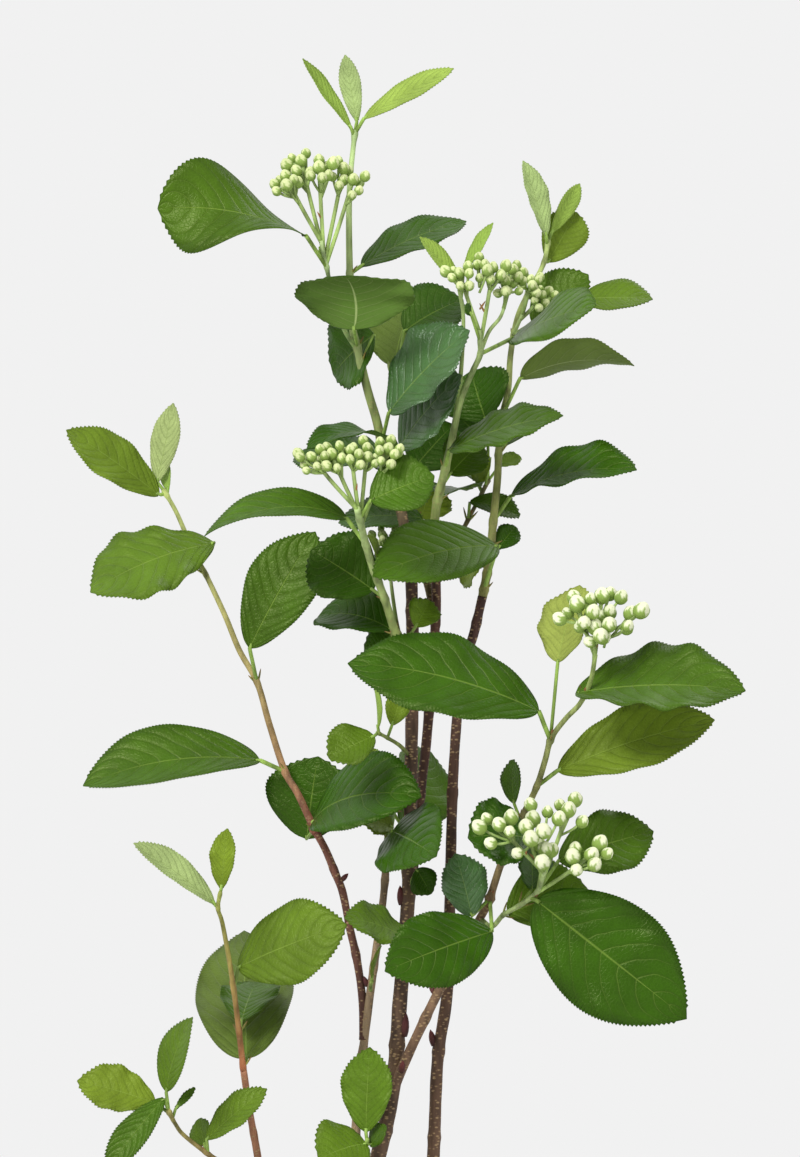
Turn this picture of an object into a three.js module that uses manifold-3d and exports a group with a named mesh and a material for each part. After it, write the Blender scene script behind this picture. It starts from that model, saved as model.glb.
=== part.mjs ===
// A young black chokeberry in a plain nursery pot, in the green-bud stage of spring.
// Millimetres, +Z up; the origin is the centre of the pot's flat underside.
// Four slender stems leave the compost, five boughs part from them, and every
// leafy shoot is a solid of its own: twig, leaves and flower buds fused together.
import * as THREE from 'three';
import { mergeVertices } from 'three/addons/utils/BufferGeometryUtils.js';
import Module from 'manifold-3d';

const wasm = await Module();
wasm.setup();

// Pot and compost
const POT_HEIGHT = 200;
const POT_FOOT_RADIUS = 82;
const POT_NECK_RADIUS = 107.5;
const POT_RIM_RADIUS = 112.5;
const POT_RIM_DEPTH = 20;
const POT_WALL = 2.2;
const POT_FLOOR = 3;
const POT_SIDES = 28;
const DRAIN_RADIUS = 7;
const DRAIN_CIRCLE = 56;
const DRAIN_COUNT = 4;
const COMPOST_LEVEL = 180;

// Clearance between two solids that touch on the plant
const GAP = 0.3;

// Limbs
const LIMB_SIDES = 5;
const SHOOT_SIDES = 5;
const LIMB_STEP = 25;
const SHOOT_STEP = 10;
const FLARE = 1.9;
const FLARE_HEIGHT = 9;

// Leaves
const BLADE_THICKNESS = 0.8;
const RIB_THICKNESS = 1.1;
const STALK_RADIUS = 0.75;
const BASE_HALF_WIDTH = 0.8;
const TIP_HALF_WIDTH = 0.35;
const LONG_BLADE_ROWS = [0, 0.08, 0.3, 0.6, 0.85, 1];
const MIDDLING_BLADE_ROWS = [0, 0.2, 0.5, 0.8, 1];
const SHORT_BLADE_ROWS = [0, 0.3, 0.68, 1];
const MIDDLING_BLADE = 30;
const SHORT_BLADE = 17;
const LEAST_BLADE = 11;

// Flower buds
const RAY_STEP = 2.2;
const BUD_STALK_RADIUS = 0.55;
const RAY_PART = 0.4;
const BUD_SPREAD = 3;
const BUD_CLEAR = 2.25;
const GOLDEN_ANGLE = 137.5;

const DEGREE = Math.PI / 180;

// A repeatable stream of numbers from 0 to 1
function randomStream(seed) {
  let state = seed;
  return () => {
    state = (state * 16807) % 2147483647;
    return state / 2147483647;
  };
}

// Unit vector from a compass angle (0 = +X, 90 = +Y) and a rise above level
function direction(way, rise) {
  const level = Math.cos(rise * DEGREE);
  return new THREE.Vector3(
    level * Math.cos(way * DEGREE),
    level * Math.sin(way * DEGREE),
    Math.sin(rise * DEGREE),
  );
}

function curveThrough(route) {
  const points = route.map((point) => new THREE.Vector3(...point));
  return new THREE.CatmullRomCurve3(points, false, 'catmullrom', 0.5);
}

// Closed three.js geometry to a solid that can be joined and cut
function solid(geometry) {
  const bare = geometry.clone();
  bare.deleteAttribute('normal');
  bare.deleteAttribute('uv');
  const merged = mergeVertices(bare, 1e-4);
  return new wasm.Manifold(new wasm.Mesh({
    numProp: 3,
    vertProperties: new Float32Array(merged.attributes.position.array),
    triVerts: new Uint32Array(merged.index.array),
  }));
}

function geometryOf(body) {
  const mesh = body.getMesh();
  const positions = new Float32Array(mesh.numVert * 3);
  for (let index = 0; index < mesh.numVert; index += 1) {
    for (let axis = 0; axis < 3; axis += 1) {
      positions[index * 3 + axis] = mesh.vertProperties[index * mesh.numProp + axis];
    }
  }
  const geometry = new THREE.BufferGeometry();
  geometry.setAttribute('position', new THREE.BufferAttribute(positions, 3));
  geometry.setIndex(new THREE.BufferAttribute(new Uint32Array(mesh.triVerts), 1));
  geometry.computeVertexNormals();
  return geometry;
}

function fuse(bodies) {
  return wasm.Manifold.union(bodies);
}

// The largest part of a body, without the loose scraps that a cut leaves
function largest(body) {
  const parts = body.decompose();
  parts.sort((first, second) => second.volume() - first.volume());
  return parts[0];
}

// Move each vertex of a geometry to where place(point) says
function reshape(geometry, place) {
  const positions = geometry.attributes.position;
  const point = new THREE.Vector3();
  for (let index = 0; index < positions.count; index += 1) {
    point.fromBufferAttribute(positions, index);
    const moved = place(point);
    positions.setXYZ(index, moved.x, moved.y, moved.z);
  }
  return geometry;
}

// A tapering limb along a curve: a cylinder bent to it
function limbBody(curve, radii, { sides, step, flare = 0, extra = 0 }) {
  const length = curve.getLength();
  const steps = Math.max(2, Math.round(length / step));
  const chord = curve.getPoint(1).sub(curve.getPoint(0));
  const reference = Math.abs(chord.x) < Math.abs(chord.y)
    ? new THREE.Vector3(1, 0, 0) : new THREE.Vector3(0, 1, 0);
  const cylinder = new THREE.CylinderGeometry(1, 1, 1, sides, steps);
  const growth = extra / Math.cos(Math.PI / sides);
  return solid(reshape(cylinder, (local) => {
    const part = local.y + 0.5;
    const along = curve.getTangentAt(part);
    const across = reference.clone().addScaledVector(along, -reference.dot(along)).normalize();
    const other = across.clone().cross(along);
    const taper = radii[0] + (radii[1] - radii[0]) * part;
    const radius = taper + flare * Math.exp(-part * length / FLARE_HEIGHT) + growth;
    const end = part > 0.999 ? extra : 0;
    return curve.getPointAt(part)
      .addScaledVector(along, end)
      .addScaledVector(across, local.x * radius)
      .addScaledVector(other, local.z * radius);
  }));
}

// Share of a blade's full width at a part of its length; `peak` is where it is widest
function widthAt(part, peak) {
  const shifted = part ** (Math.log(0.5) / Math.log(peak));
  return Math.max(0, Math.sin(Math.PI * shifted)) ** (0.5 + 0.4 * part);
}

// One leaf in words: `at` mm along its shoot; the blade's `way` and `rise`; `long` and `wide`
// in mm; then its arch, the lean of its upper face, its twist and its fold in degrees, the
// place of its greatest width, and its stalk as [length, rise, way]
function leaf(at, way, rise, long, wide, shape = {}) {
  return { at, way, rise, long, wide, arch: 20, face: 60, twist: 0, fold: 8, peak: 0.55,
    ...shape };
}

// Where the blade's foot is and the three directions that the blade is bent in
function leafFrame(shoot, spec) {
  const root = shoot.curve.getPointAt(Math.min(1, spec.at / shoot.length));
  const [stalkLength, stalkRise, stalkWay] = spec.stalk;
  const foot = root.clone().addScaledVector(direction(stalkWay, stalkRise), stalkLength);
  const along = direction(spec.way, spec.rise);
  const side = along.clone().cross(new THREE.Vector3(0, 0, 1)).normalize();
  const up = side.clone().cross(along);
  const front = side.clone().multiplyScalar(along.x >= 0 ? 1 : -1);
  const normal = up.multiplyScalar(Math.cos(spec.face * DEGREE))
    .addScaledVector(front, Math.sin(spec.face * DEGREE));
  return { root, foot, along, normal };
}

// The blade's midrib point, and its directions there, at a part of its length
function bladeAt(frame, spec, part) {
  const arch = Math.abs(spec.arch) < 0.5 ? 0.5 * DEGREE : spec.arch * DEGREE;
  const angle = arch * (part - 0.5);
  const reach = spec.long / arch;
  const point = frame.foot.clone()
    .addScaledVector(frame.along, reach * (Math.sin(angle) + Math.sin(arch / 2)))
    .addScaledVector(frame.normal, reach * (Math.cos(angle) - Math.cos(arch / 2)));
  const along = frame.along.clone().multiplyScalar(Math.cos(angle))
    .addScaledVector(frame.normal, -Math.sin(angle));
  const bent = frame.normal.clone().multiplyScalar(Math.cos(angle))
    .addScaledVector(frame.along, Math.sin(angle));
  const twist = spec.twist * (part - 0.5) * DEGREE * (frame.along.x >= 0 ? 1 : -1);
  const normal = bent.clone().multiplyScalar(Math.cos(twist))
    .addScaledVector(along.clone().cross(bent), Math.sin(twist));
  const side = along.clone().cross(normal);
  const half = Math.max(
    spec.wide / 2 * widthAt(part, spec.peak),
    THREE.MathUtils.lerp(BASE_HALF_WIDTH, TIP_HALF_WIDTH, part),
  );
  return { point, along, normal, side, half };
}

function bladeRows(long) {
  if (long < SHORT_BLADE) {
    return SHORT_BLADE_ROWS;
  }
  return long < MIDDLING_BLADE ? MIDDLING_BLADE_ROWS : LONG_BLADE_ROWS;
}

// A thin box bent into stalk and blade: its first row is sunk in the twig, its second is
// the blade's foot, and the rest follow the blade, folded a little along the midrib. The foot
// is turned halfway between stalk and blade, so a sharp bend there is mitred
function leafBody(shoot, spec) {
  const frame = leafFrame(shoot, spec);
  const rows = bladeRows(spec.long);
  const columns = spec.long < SHORT_BLADE ? 1 : 2;
  const box = new THREE.BoxGeometry(1, 1, 1, columns, 1, rows.length);
  const stalk = frame.foot.clone().sub(frame.root).normalize();
  const start = bladeAt(frame, spec, 0);
  const turn = new THREE.Quaternion().setFromUnitVectors(start.along, stalk);
  const halfTurn = new THREE.Quaternion().slerp(turn, 0.5);
  return solid(reshape(box, (local) => {
    const row = Math.round((local.z + 0.5) * rows.length) - 1;
    const edge = Math.abs(local.x) * 2;
    if (row < 0) {
      return frame.root.clone()
        .addScaledVector(start.side.clone().applyQuaternion(turn), -2 * local.x * STALK_RADIUS)
        .addScaledVector(start.normal.clone().applyQuaternion(turn), 2 * local.y * STALK_RADIUS);
    }
    const here = bladeAt(frame, spec, rows[row]);
    if (row === 0) {
      here.side.applyQuaternion(halfTurn);
      here.normal.applyQuaternion(halfTurn);
    }
    const fold = edge * spec.fold * DEGREE;
    const thickness = THREE.MathUtils.lerp(RIB_THICKNESS, BLADE_THICKNESS, edge)
      + (row === 0 ? STALK_RADIUS / 2 : 0);
    return here.point
      .addScaledVector(here.side, -2 * local.x * here.half * Math.cos(fold))
      .addScaledVector(here.normal, edge * here.half * Math.sin(fold) + local.y * thickness);
  }));
}

// A flower bud on its stalk, turned in one piece
function budBody(from, centre, radius) {
  const axis = centre.clone().sub(from);
  const reach = axis.length();
  const profile = [
    [0, -0.3],
    [BUD_STALK_RADIUS, -0.3],
    [BUD_STALK_RADIUS, reach - radius * 0.9],
    [radius, reach],
    [0, reach + radius],
  ].map(([across, along]) => new THREE.Vector2(across, along));
  const bud = new THREE.LatheGeometry(profile, 4);
  bud.applyQuaternion(new THREE.Quaternion().setFromUnitVectors(
    new THREE.Vector3(0, 1, 0), axis.normalize()));
  bud.translate(from.x, from.y, from.z);
  return solid(bud);
}

// Flower buds: each head is [x, y, z, count] from the shoot's tip. Its ray ends in a bud and
// carries the others; every second one is solid here, and one that would touch another is
// left out
function corymbBodies(shoot, random) {
  const tip = shoot.curve.getPoint(1);
  const bodies = [];
  const placed = [];
  (shoot.heads ?? []).forEach(([x, y, z, count], order) => {
    const head = tip.clone().add(new THREE.Vector3(x, y, z));
    const start = shoot.curve.getPointAt(1 - (order + 0.3) * RAY_STEP / shoot.length);
    const phase = random() * 360;
    for (let index = 0; index < count; index += 1) {
      const turn = phase + index * GOLDEN_ANGLE;
      const spread = BUD_SPREAD * shoot.bud * Math.sqrt(index / count);
      const lift = (0.2 + 0.8 * random()) * shoot.bud;
      const centre = head.clone()
        .addScaledVector(direction(turn, 0), spread)
        .add(new THREE.Vector3(0, 0, lift));
      const part = index === 0 ? 0 : THREE.MathUtils.lerp(RAY_PART, 0.8, index / count);
      const radius = shoot.bud * (1.05 + 0.2 * random());
      const clear = placed.every((other) => other.distanceTo(centre) > BUD_CLEAR * shoot.bud);
      if (clear && index % 2 === 0) {
        placed.push(centre);
        bodies.push(budBody(start.clone().lerp(head, part), centre, radius));
      }
    }
  });
  return bodies;
}

const STEM_COLOUR = 0x6a5140;
const LEAF_COLOUR = 0x3f6f24;
const SEED = 417;

// Stems from the compost and the boughs that part from them: `on` is what carries each,
// `radii` are at its foot and tip, and `route` is its axis. Stems start below the compost's
// surface and are cut flat just above it.
const LIMBS = [
  { name: 'stem_main', on: null, radii: [3.5, 2.2], route: [[-5, -14, 175], [-2.5, -13, 241.5], [2, -10,
    326.5], [8.5, -7, 393.5], [17, -4, 434], [20, -3, 468], [23, -2, 507], [24, -2, 554], [24.5, -1,
    593], [24, 0, 619.5], [23, 0, 631]] },
  { name: 'stem_right', on: null, radii: [3, 1.7], route: [[20.5, 12, 170.5], [24.5, 12, 252], [28.5,
    11, 342], [32, 10, 412], [33.5, 9, 446], [37, 8, 471.5], [38, 8, 510.5], [39, 8, 546.5], [41, 8,
    575], [43.5, 8, 589.5], [46.5, 8, 599], [49.5, 8, 612]] },
  { name: 'stem_left', on: null, radii: [2.8, 1.3], route: [[-10.5, 10, 170.5], [-8, 10, 234.5], [-2, 8,
    324.5], [3, 6, 399.5], [4.5, 5, 425], [7, 4, 451.5], [9.5, 4, 471.5], [14, 5, 504], [15.5, 6, 525]]
    },
  { name: 'stem_low', on: null, radii: [2.3, 1.2], route: [[-17, -8, 174], [-18, -9, 237.5], [-22.5,
    -11, 326.5], [-28.5, -13, 398], [-30.5, -13, 413], [-33.5, -14, 430], [-35.5, -15, 444]] },
  { name: 'bough_middle', on: 'stem_main', radii: [1.9, 1.7], route: [[21, -3, 480.5], [24, 4, 507],
    [27, 8, 539], [29.5, 8, 560.5], [32, 6, 593], [33, 4, 611], [32, 2, 632.5]] },
  { name: 'bough_right', on: 'stem_main', radii: [1.9, 1.5], route: [[17, -4, 435], [22, -8, 447], [27,
    -11, 458], [34, -14, 472.5], [39.5, -16, 483], [45.5, -18, 493], [51, -20, 503]] },
  { name: 'bough_left', on: 'stem_left', radii: [1.5, 1.4], route: [[7, 4, 453.5], [6.5, 5, 468.5],
    [4.5, 6, 482.5], [2, 7, 493.5], [-0.5, 8, 506], [-3, 8, 512.5], [-6.5, 9, 521], [-10, 9, 527.5]] },
  { name: 'bough_top', on: 'stem_main', radii: [2, 1.8], route: [[23, 0, 630.5], [20.5, 0, 642], [17.5,
    0, 651], [14.5, -1, 660]] },
  { name: 'bough_back', on: 'bough_middle', radii: [1.5, 1.3], route: [[32.5, 6, 603], [31, 8, 611.5],
    [29, 10, 619.5], [25.5, 13, 630.5]] },
];

// Leafy shoots: `node` is the mass of foliage that each belongs to
const SHOOTS = [
  {
    name: 'top', node: 'foliage_top', on: 'bough_top', radii: [1.8, 0.9],
    route: [[14.5, -1, 659.5], [12, -1, 673.5], [8.5, -2, 685.5], [4.5, -3, 702], [3, -3, 709], [2, -3,
      730.5], [2, -3, 757], [4, -3, 778.5]],
    leaves: [
      leaf(118, -174, 55, 30, 7, { arch: -12, face: 50, fold: 30, stalk: [4, 53, -120] }),
      leaf(120, 158, 79, 24, 8, { arch: 10, face: 70, fold: 26, stalk: [4, 79, 23] }),
      leaf(119, -3, 29, 36.5, 12, { arch: 10, face: 42, stalk: [7, 53, -36] }),
      leaf(69, 15, 23, 42.5, 24, { arch: 24, face: 26, fold: 6, stalk: [5.5, 34, 24] }),
      leaf(43, -117, 68, 24, 47, { arch: 110, face: 0, fold: 2, stalk: [19, 16, -93] }),
      leaf(37, 148, -39, 22.5, 32, { arch: 25, face: 66, stalk: [11.5, 62, 30] }),
      leaf(7, -23, 43, 42.5, 34, { face: 56, fold: 12, stalk: [14, 53, -71] }),
      leaf(2, -39, 42, 38, 28, { face: 70, stalk: [7, 34, 7] }),
      leaf(2, -146, -1, 41, 15, { arch: 70, face: 14, twist: 30, fold: 12, stalk: [6.5, 34, -27] }),
      leaf(3, 160, 2, 36.5, 28, { face: 28, fold: 10, stalk: [6, -23, 72] }),
      leaf(55, 100, 17, 30, 19, { arch: 25, face: 0, fold: 10, stalk: [6, 32, 100] }),
    ],
  },
  {
    name: 'top_side', node: 'foliage_top', on: 'top', radii: [0.9, 0.7],
    route: [[4, -3, 701], [0, -8, 707.5], [-4, -14, 719], [-6, -19.5, 729], [-8, -24, 738]],
    leaves: [
      leaf(34, -176, 10, 54.5, 37, { arch: 45, face: 48, twist: 90, fold: 6, peak: 0.7, stalk: [16.5,
        41, -126] }),
      leaf(34, -147, 73, 4.5, 4, { arch: 0, fold: 10, stalk: [4.5, 48, 116] }),
    ],
    bud: 2.1,
    heads: [[-12.5, -3, 21, 4], [-7, 3, 26.5, 3], [-0.6, -2, 25, 5], [8, 2, 24.5, 4], [11.5, -1, 20.5,
      1]],
  },
  {
    name: 'back', node: 'foliage_back', on: 'bough_back', radii: [1.3, 0.7],
    route: [[25.5, 13, 630], [24.5, 20, 650.5], [23.5, 28.5, 665], [20, 38, 679.5], [16.5, 48, 694.5],
      [15.5, 58, 702]],
    leaves: [
      leaf(76, 45, 68, 25, 32, { face: 0, fold: 12, stalk: [1.7, 13, -22] }),
      leaf(65, 12, 28, 25, 28, { arch: 25, face: 40, fold: 12, stalk: [22, 77, -48] }),
      leaf(30, 25, 45, 22.5, 26, { face: 55, fold: 12, stalk: [1.2, 26, -34] }),
      leaf(10, 65, 59, 15, 20, { arch: 15, fold: 15, stalk: [2.7, 15, 20] }),
      leaf(1, 174, -3, 30.5, 23, { arch: 30, face: 30, stalk: [10, 67, -53] }),
      leaf(23, 119, 11, 36, 23, { arch: 25, face: 0, fold: 10, stalk: [6, 26, 119] }),
    ],
  },
  {
    name: 'middle', node: 'foliage_middle', on: 'bough_middle', radii: [1.7, 0.9],
    route: [[32, 2, 632], [33, -1, 644.5], [36, -5, 657], [38.5, -8.5, 668], [41, -12, 680], [43.5,
      -14.5, 687], [46, -17.5, 692.5], [48.5, -20, 698.5], [48, -23, 706.5]],
    leaves: [
      leaf(27, -17, 16, 44, 26, { arch: 22, face: 33, twist: -10, fold: 4, stalk: [10, 41, -80] }),
      leaf(19, 18, 44, 16, 19, { face: 55, fold: 15, stalk: [7, 52, 34] }),
      leaf(76, -132, 52, 4.5, 5, { arch: 0, face: 75, fold: 0, stalk: [12.5, 52, -116] }),
      leaf(72, -57, 11, 54.5, 25, { arch: 15, face: 48, twist: 20, fold: 4, stalk: [27.5, 13, 65] }),
      leaf(15, 72, 4, 29, 19, { arch: 25, face: 0, fold: 10, stalk: [6, 19, 72] }),
    ],
    bud: 1.9,
    heads: [[-7, -2, 19.5, 4], [-0, 1, 22, 5], [5, 3, 21.5, 3]],
  },
  {
    name: 'middle_side', node: 'foliage_middle', on: 'middle', radii: [0.9, 0.6],
    route: [[39.5, -10, 673], [41.5, -14, 690], [42.5, -16, 710], [41, -17, 721]],
    leaves: [
      leaf(49, -168, 50, 22.5, 8, { arch: 5, face: 55, fold: 22, stalk: [2.3, 32, -82] }),
      leaf(45, -13, 58, 20, 7, { arch: -10, face: 50, fold: 22, stalk: [12, 63, 80] }),
    ],
  },
  {
    name: 'middle_b', node: 'foliage_middle', on: 'middle', radii: [0.8, 0.6],
    route: [[48.5, -19.5, 698.5], [51.5, -18.5, 706], [55.5, -17, 711], [57.5, -13.5, 716.5]],
    bud: 1.9,
    heads: [[0.1, -2, 6, 3], [2.7, 2, 10, 4]],
  },
  {
    name: 'right', node: 'foliage_right', on: 'stem_right', radii: [1.6, 0.8],
    route: [[49.5, 8, 611.5], [52, 9.5, 625], [53.5, 12, 639.5], [55, 14.5, 654], [55.5, 18.5, 664.5],
      [56.5, 22.5, 675.5], [59, 27, 686.5], [60, 31.5, 699.5], [62.5, 36, 713], [67, 40.5, 723], [72,
      44, 732.5], [74, 48, 741.5]],
    leaves: [
      leaf(59, 128, 65, 20, 30, { arch: 15, face: 65, fold: 12, stalk: [8.5, 54, 166] }),
      leaf(117, -10, 0, 26.5, 18, { arch: 16, face: 40, twist: -20, fold: 10, stalk: [19.5, -6, -10] }),
      leaf(100, 1, 41, 27, 22, { arch: 15, face: 55, fold: 10, stalk: [14.5, 19, 59] }),
      leaf(68, -5, 6, 42.5, 28, { arch: 50, face: -22, twist: 20, fold: 12, stalk: [16.5, 56, -45] }),
      leaf(28, -30, 10, 53, 28, { arch: 38, face: 34, fold: 16, stalk: [12.5, 48, 40] }),
      leaf(9, 151, -54, 12.5, 16, { face: 55, fold: 15, stalk: [6.5, 60, 132] }),
      leaf(19, 47, 41, 12, 9, { arch: 10, face: 50, fold: 15, stalk: [3, -12, 23] }),
      leaf(138, -179, 73, 28.5, 10, { arch: 12, fold: 30, stalk: [4, 61, -106] }),
      leaf(139, 45, 51, 23.5, 7, { arch: 10, fold: 30, stalk: [5, 55, 58] }),
      leaf(131, 43, 52, 23.5, 17, { arch: 15, face: 50, fold: 14, stalk: [4.5, 6, 66] }),
      leaf(3, -143, -11, 57.5, 29, { arch: 38, face: 44, stalk: [19.5, 53, -67] }),
      leaf(53, 58, 22, 30, 19, { arch: 25, face: 0, fold: 10, stalk: [6, 37, 58] }),
      leaf(14, 100, 5, 37, 24, { arch: 25, face: 0, fold: 10, stalk: [6, 20, 100] }),
    ],
  },
  {
    name: 'right_b', node: 'foliage_right', on: 'right', radii: [0.8, 0.6],
    route: [[61, 33, 706.5], [62.5, 30, 710], [64.5, 29, 714.5]],
    bud: 1.8,
    heads: [[2.8, -2, 11.5, 4], [7, 2, 5.5, 3]],
  },
  {
    name: 'behind', node: 'foliage_behind', on: 'bough_middle', radii: [1, 0.7],
    route: [[34.5, 4, 620], [38.5, 14.5, 628], [45.5, 25.5, 641.5], [52, 36, 654]],
    leaves: [
      leaf(50, 167, 43, 15, 24, { fold: 12, stalk: [13, 87, 99] }),
      leaf(47, 172, -20, 9.5, 20, { arch: 10, fold: 10, stalk: [11, 70, -62] }),
      leaf(30, -6, -17, 19, 12, { arch: 35, face: 40, fold: 15, stalk: [7, 71, -71] }),
      leaf(50, 12, 20, 8.5, 8, { arch: 5, face: 40, fold: 20, stalk: [7, 53, 4] }),
      leaf(44, 122, 33, 36, 23, { arch: 25, face: 0, fold: 10, stalk: [6, 48, 122] }),
    ],
  },
  {
    name: 'left', node: 'foliage_left', on: 'bough_left', radii: [1.4, 0.8],
    route: [[-10, 9, 527], [-16.5, 12, 541], [-21.5, 16, 549.5], [-27, 20.5, 566], [-31.5, 25, 581],
      [-38, 29.5, 592.5], [-43.5, 34.5, 605.5], [-50.5, 40, 620], [-54.5, 44, 627], [-58.5, 49.5, 636],
      [-62, 54.5, 643.5], [-66.5, 60, 651]],
    leaves: [
      leaf(145, -171, 35, 41.5, 19, { arch: 15, face: 62, fold: 10, stalk: [2.7, -13, -160] }),
      leaf(146, 16, 78, 29.5, 11, { arch: -12, fold: 20, stalk: [4.5, 52, 174] }),
      leaf(144, 100, 63, 11.5, 6, { arch: 5, fold: 15, stalk: [2.2, 63, 64] }),
      leaf(120, -163, -21, 50.5, 36, { arch: 34, face: 40, twist: -20, fold: 2, peak: 0.6, stalk: [9, 6,
        -16] }),
      leaf(61, 12, 60, 48.5, 27, { arch: 22, stalk: [14, 62, -112] }),
      leaf(26, -175, -8, 65.5, 32, { arch: 42, face: 38, fold: 15, stalk: [10, 24, -174] }),
      leaf(2, 7, 82, 30, 34, { arch: 15, face: 66, stalk: [11.5, -20, 105] }),
      leaf(2, -38, 11, 53, 36, { arch: 66, face: 50, stalk: [4, 49, -97] }),
      leaf(107, 129, 16, 29, 19, { arch: 25, face: 0, fold: 10, stalk: [6, 31, 129] }),
    ],
  },
  {
    name: 'front', node: 'foliage_front', on: 'stem_main', radii: [1.6, 1.2],
    route: [[22.5, -3, 593.5], [18.5, -10.5, 599], [14.5, -19.5, 611.5], [9.5, -28.5, 625], [6.5, -37.5,
      636.5], [5, -45, 643]],
    leaves: [
      leaf(50, -162, -7, 55.5, 19, { arch: 66, face: 30, twist: -50, fold: 15, stalk: [12, 52, 161] }),
      leaf(62, 3, 21, 24, 24, { arch: 15, face: 58, fold: 12, stalk: [12, 34, -67] }),
      leaf(26, 167, 32, 27, 28, { face: 65, fold: 12, stalk: [5, 36, 168] }),
      leaf(10, 150, 8, 32.5, 26, { arch: 58, face: 35, fold: 14, stalk: [3.5, 23, 117] }),
      leaf(9, 154, -16, 12, 14, { fold: 10, stalk: [2.3, -44, 147] }),
      leaf(34, -135, 60, 12, 7, { arch: 10, fold: 20, stalk: [6, 71, -66] }),
      leaf(3, 49, 50, 12, 12, { arch: 10, face: 50, fold: 15, stalk: [8, 54, -22] }),
      leaf(38, 62, 9, 28, 18, { arch: 25, face: 0, fold: 10, stalk: [6, 24, 62] }),
    ],
    bud: 1.9,
    heads: [[-16, -2, 17.5, 4], [-9, 1, 17.5, 6], [-2.2, -1, 19.5, 5], [3.5, 2, 20, 4], [11, -3, 20,
      4]],
  },
  {
    name: 'front_side', node: 'foliage_front_side', on: 'stem_main', radii: [0.9, 0.6],
    route: [[23, 1, 588.5], [19.5, 4, 599.5], [17.5, 5, 611.5], [16, 5, 624.5]],
    bud: 1.5,
    heads: [[-2.4, 0, 9, 3], [1.9, 1, 9, 3]],
  },
  {
    name: 'outer', node: 'foliage_outer', on: 'bough_right', radii: [1.4, 0.8],
    route: [[51, -20, 502.5], [55.5, -24, 517], [58, -27.5, 522.5], [62.5, -31, 533.5], [66, -35,
      540.5], [68.5, -38.5, 546.5], [71, -43, 555], [73, -46.5, 562.5], [78, -50, 569.5], [83, -54,
      575], [86.5, -59, 583], [88, -63, 592]],
    leaves: [
      leaf(69, 178, 14, 70, 37, { arch: 36, face: 48, fold: 4, stalk: [13, 53, -123] }),
      leaf(69, 41, 69, 29, 27, { arch: 14, face: 0, fold: 6, stalk: [27.5, 84, 24] }),
      leaf(91, -10, 1, 60, 38, { arch: 22, face: 36, twist: 20, fold: 14, peak: 0.5, stalk: [3.5, 16,
        -157] }),
      leaf(50, -9, 18, 58.5, 27, { arch: 22, face: 58, fold: 12, stalk: [9.5, 37, -11] }),
      leaf(35, 106, 81, 15.5, 12, { arch: 10, face: 72, stalk: [6.5, 66, -149] }),
      leaf(25, -163, 1, 24, 30, { arch: 30, face: 48, stalk: [17, 10, -63] }),
      leaf(3, -166, 75, 23, 18, { arch: 10, face: 78, stalk: [11, -33, -135] }),
      leaf(3, -148, -16, 46.5, 28, { arch: 22, face: 62, fold: 4, stalk: [15.5, -46, -87] }),
      leaf(18, 95, 22, 29, 18, { arch: 25, face: 0, fold: 10, stalk: [6, 37, 95] }),
    ],
    bud: 2.6,
    heads: [[-6.5, -2, 15.5, 4], [-0.3, -4, 8, 3], [2.4, 3, 18.5, 4], [6.5, -1, 10.5, 3], [10.5, 2, 16,
      4]],
  },
  {
    name: 'outer_side', node: 'foliage_outer_low', on: 'bough_right', radii: [0.9, 0.8],
    route: [[48.5, -19, 498], [52.5, -25, 495.5], [56.5, -31.5, 500], [62, -37.5, 503.5], [68, -44,
      508.5], [70.5, -51, 516]],
    leaves: [
      leaf(36, 13, 16, 36, 25, { arch: 15, face: 58, fold: 6, stalk: [18, 36, 57] }),
      leaf(32, -6, -38, 67, 41, { arch: 10, face: 82, fold: 2, peak: 0.5, stalk: [3.5, -14, -58] }),
      leaf(17, 17, 16, 31, 28, { fold: 12, stalk: [3.5, 2, 67] }),
      leaf(26, -158, 88, 15, 20, { arch: 15, fold: 12, stalk: [8, 42, 46] }),
    ],
    bud: 2.6,
    heads: [[-16, -8, 15, 5], [-6.5, -6, 13.5, 3], [0.2, -2, 18, 5], [8.5, 2, 19.5, 4], [0.1, -5, 7, 3],
      [16.5, -1, 5, 5]],
  },
  {
    name: 'inner', node: 'foliage_inner', on: 'stem_left', radii: [1.2, 0.8],
    route: [[15.5, 6, 524.5], [17, 12.5, 532], [17.5, 24, 538.5], [16.5, 39, 549]],
    leaves: [
      leaf(15, 65, 49, 36, 30, { face: 66, stalk: [7.5, -53, 26] }),
      leaf(4, -155, 19, 13.5, 14, { arch: 10, fold: 15, stalk: [3.5, 36, -64] }),
      leaf(1, -72, -8, 51, 30, { arch: 26, face: 50, fold: 6, stalk: [7.5, 24, -77] }),
      leaf(39, 146, -55, 17, 15, { arch: 15, fold: 20, stalk: [10.5, 58, -154] }),
    ],
  },
  {
    name: 'twig', node: 'foliage_twig', on: 'stem_main', radii: [0.8, 0.6],
    route: [[23.5, -2, 555], [20, -8.5, 559], [15.5, -16.5, 562], [12, -24, 564]],
    leaves: [
      leaf(25, -119, 79, 16, 10, { arch: 15, fold: 20, stalk: [2.1, 73, -133] }),
      leaf(26, -162, -25, 18.5, 18, { face: 50, fold: 15, stalk: [2, -32, -148] }),
      leaf(18, 44, 67, 12.5, 9, { arch: 10, face: 50, fold: 15, stalk: [5, 69, 20] }),
    ],
  },
  {
    name: 'low', node: 'foliage_low', on: 'stem_low', radii: [1.1, 0.7],
    route: [[-35.5, -15, 443.5], [-37.5, -19.5, 462], [-39.5, -25.5, 478.5], [-42.5, -31.5, 496.5],
      [-44, -37.5, 502.5], [-43, -44, 508.5]],
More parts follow.
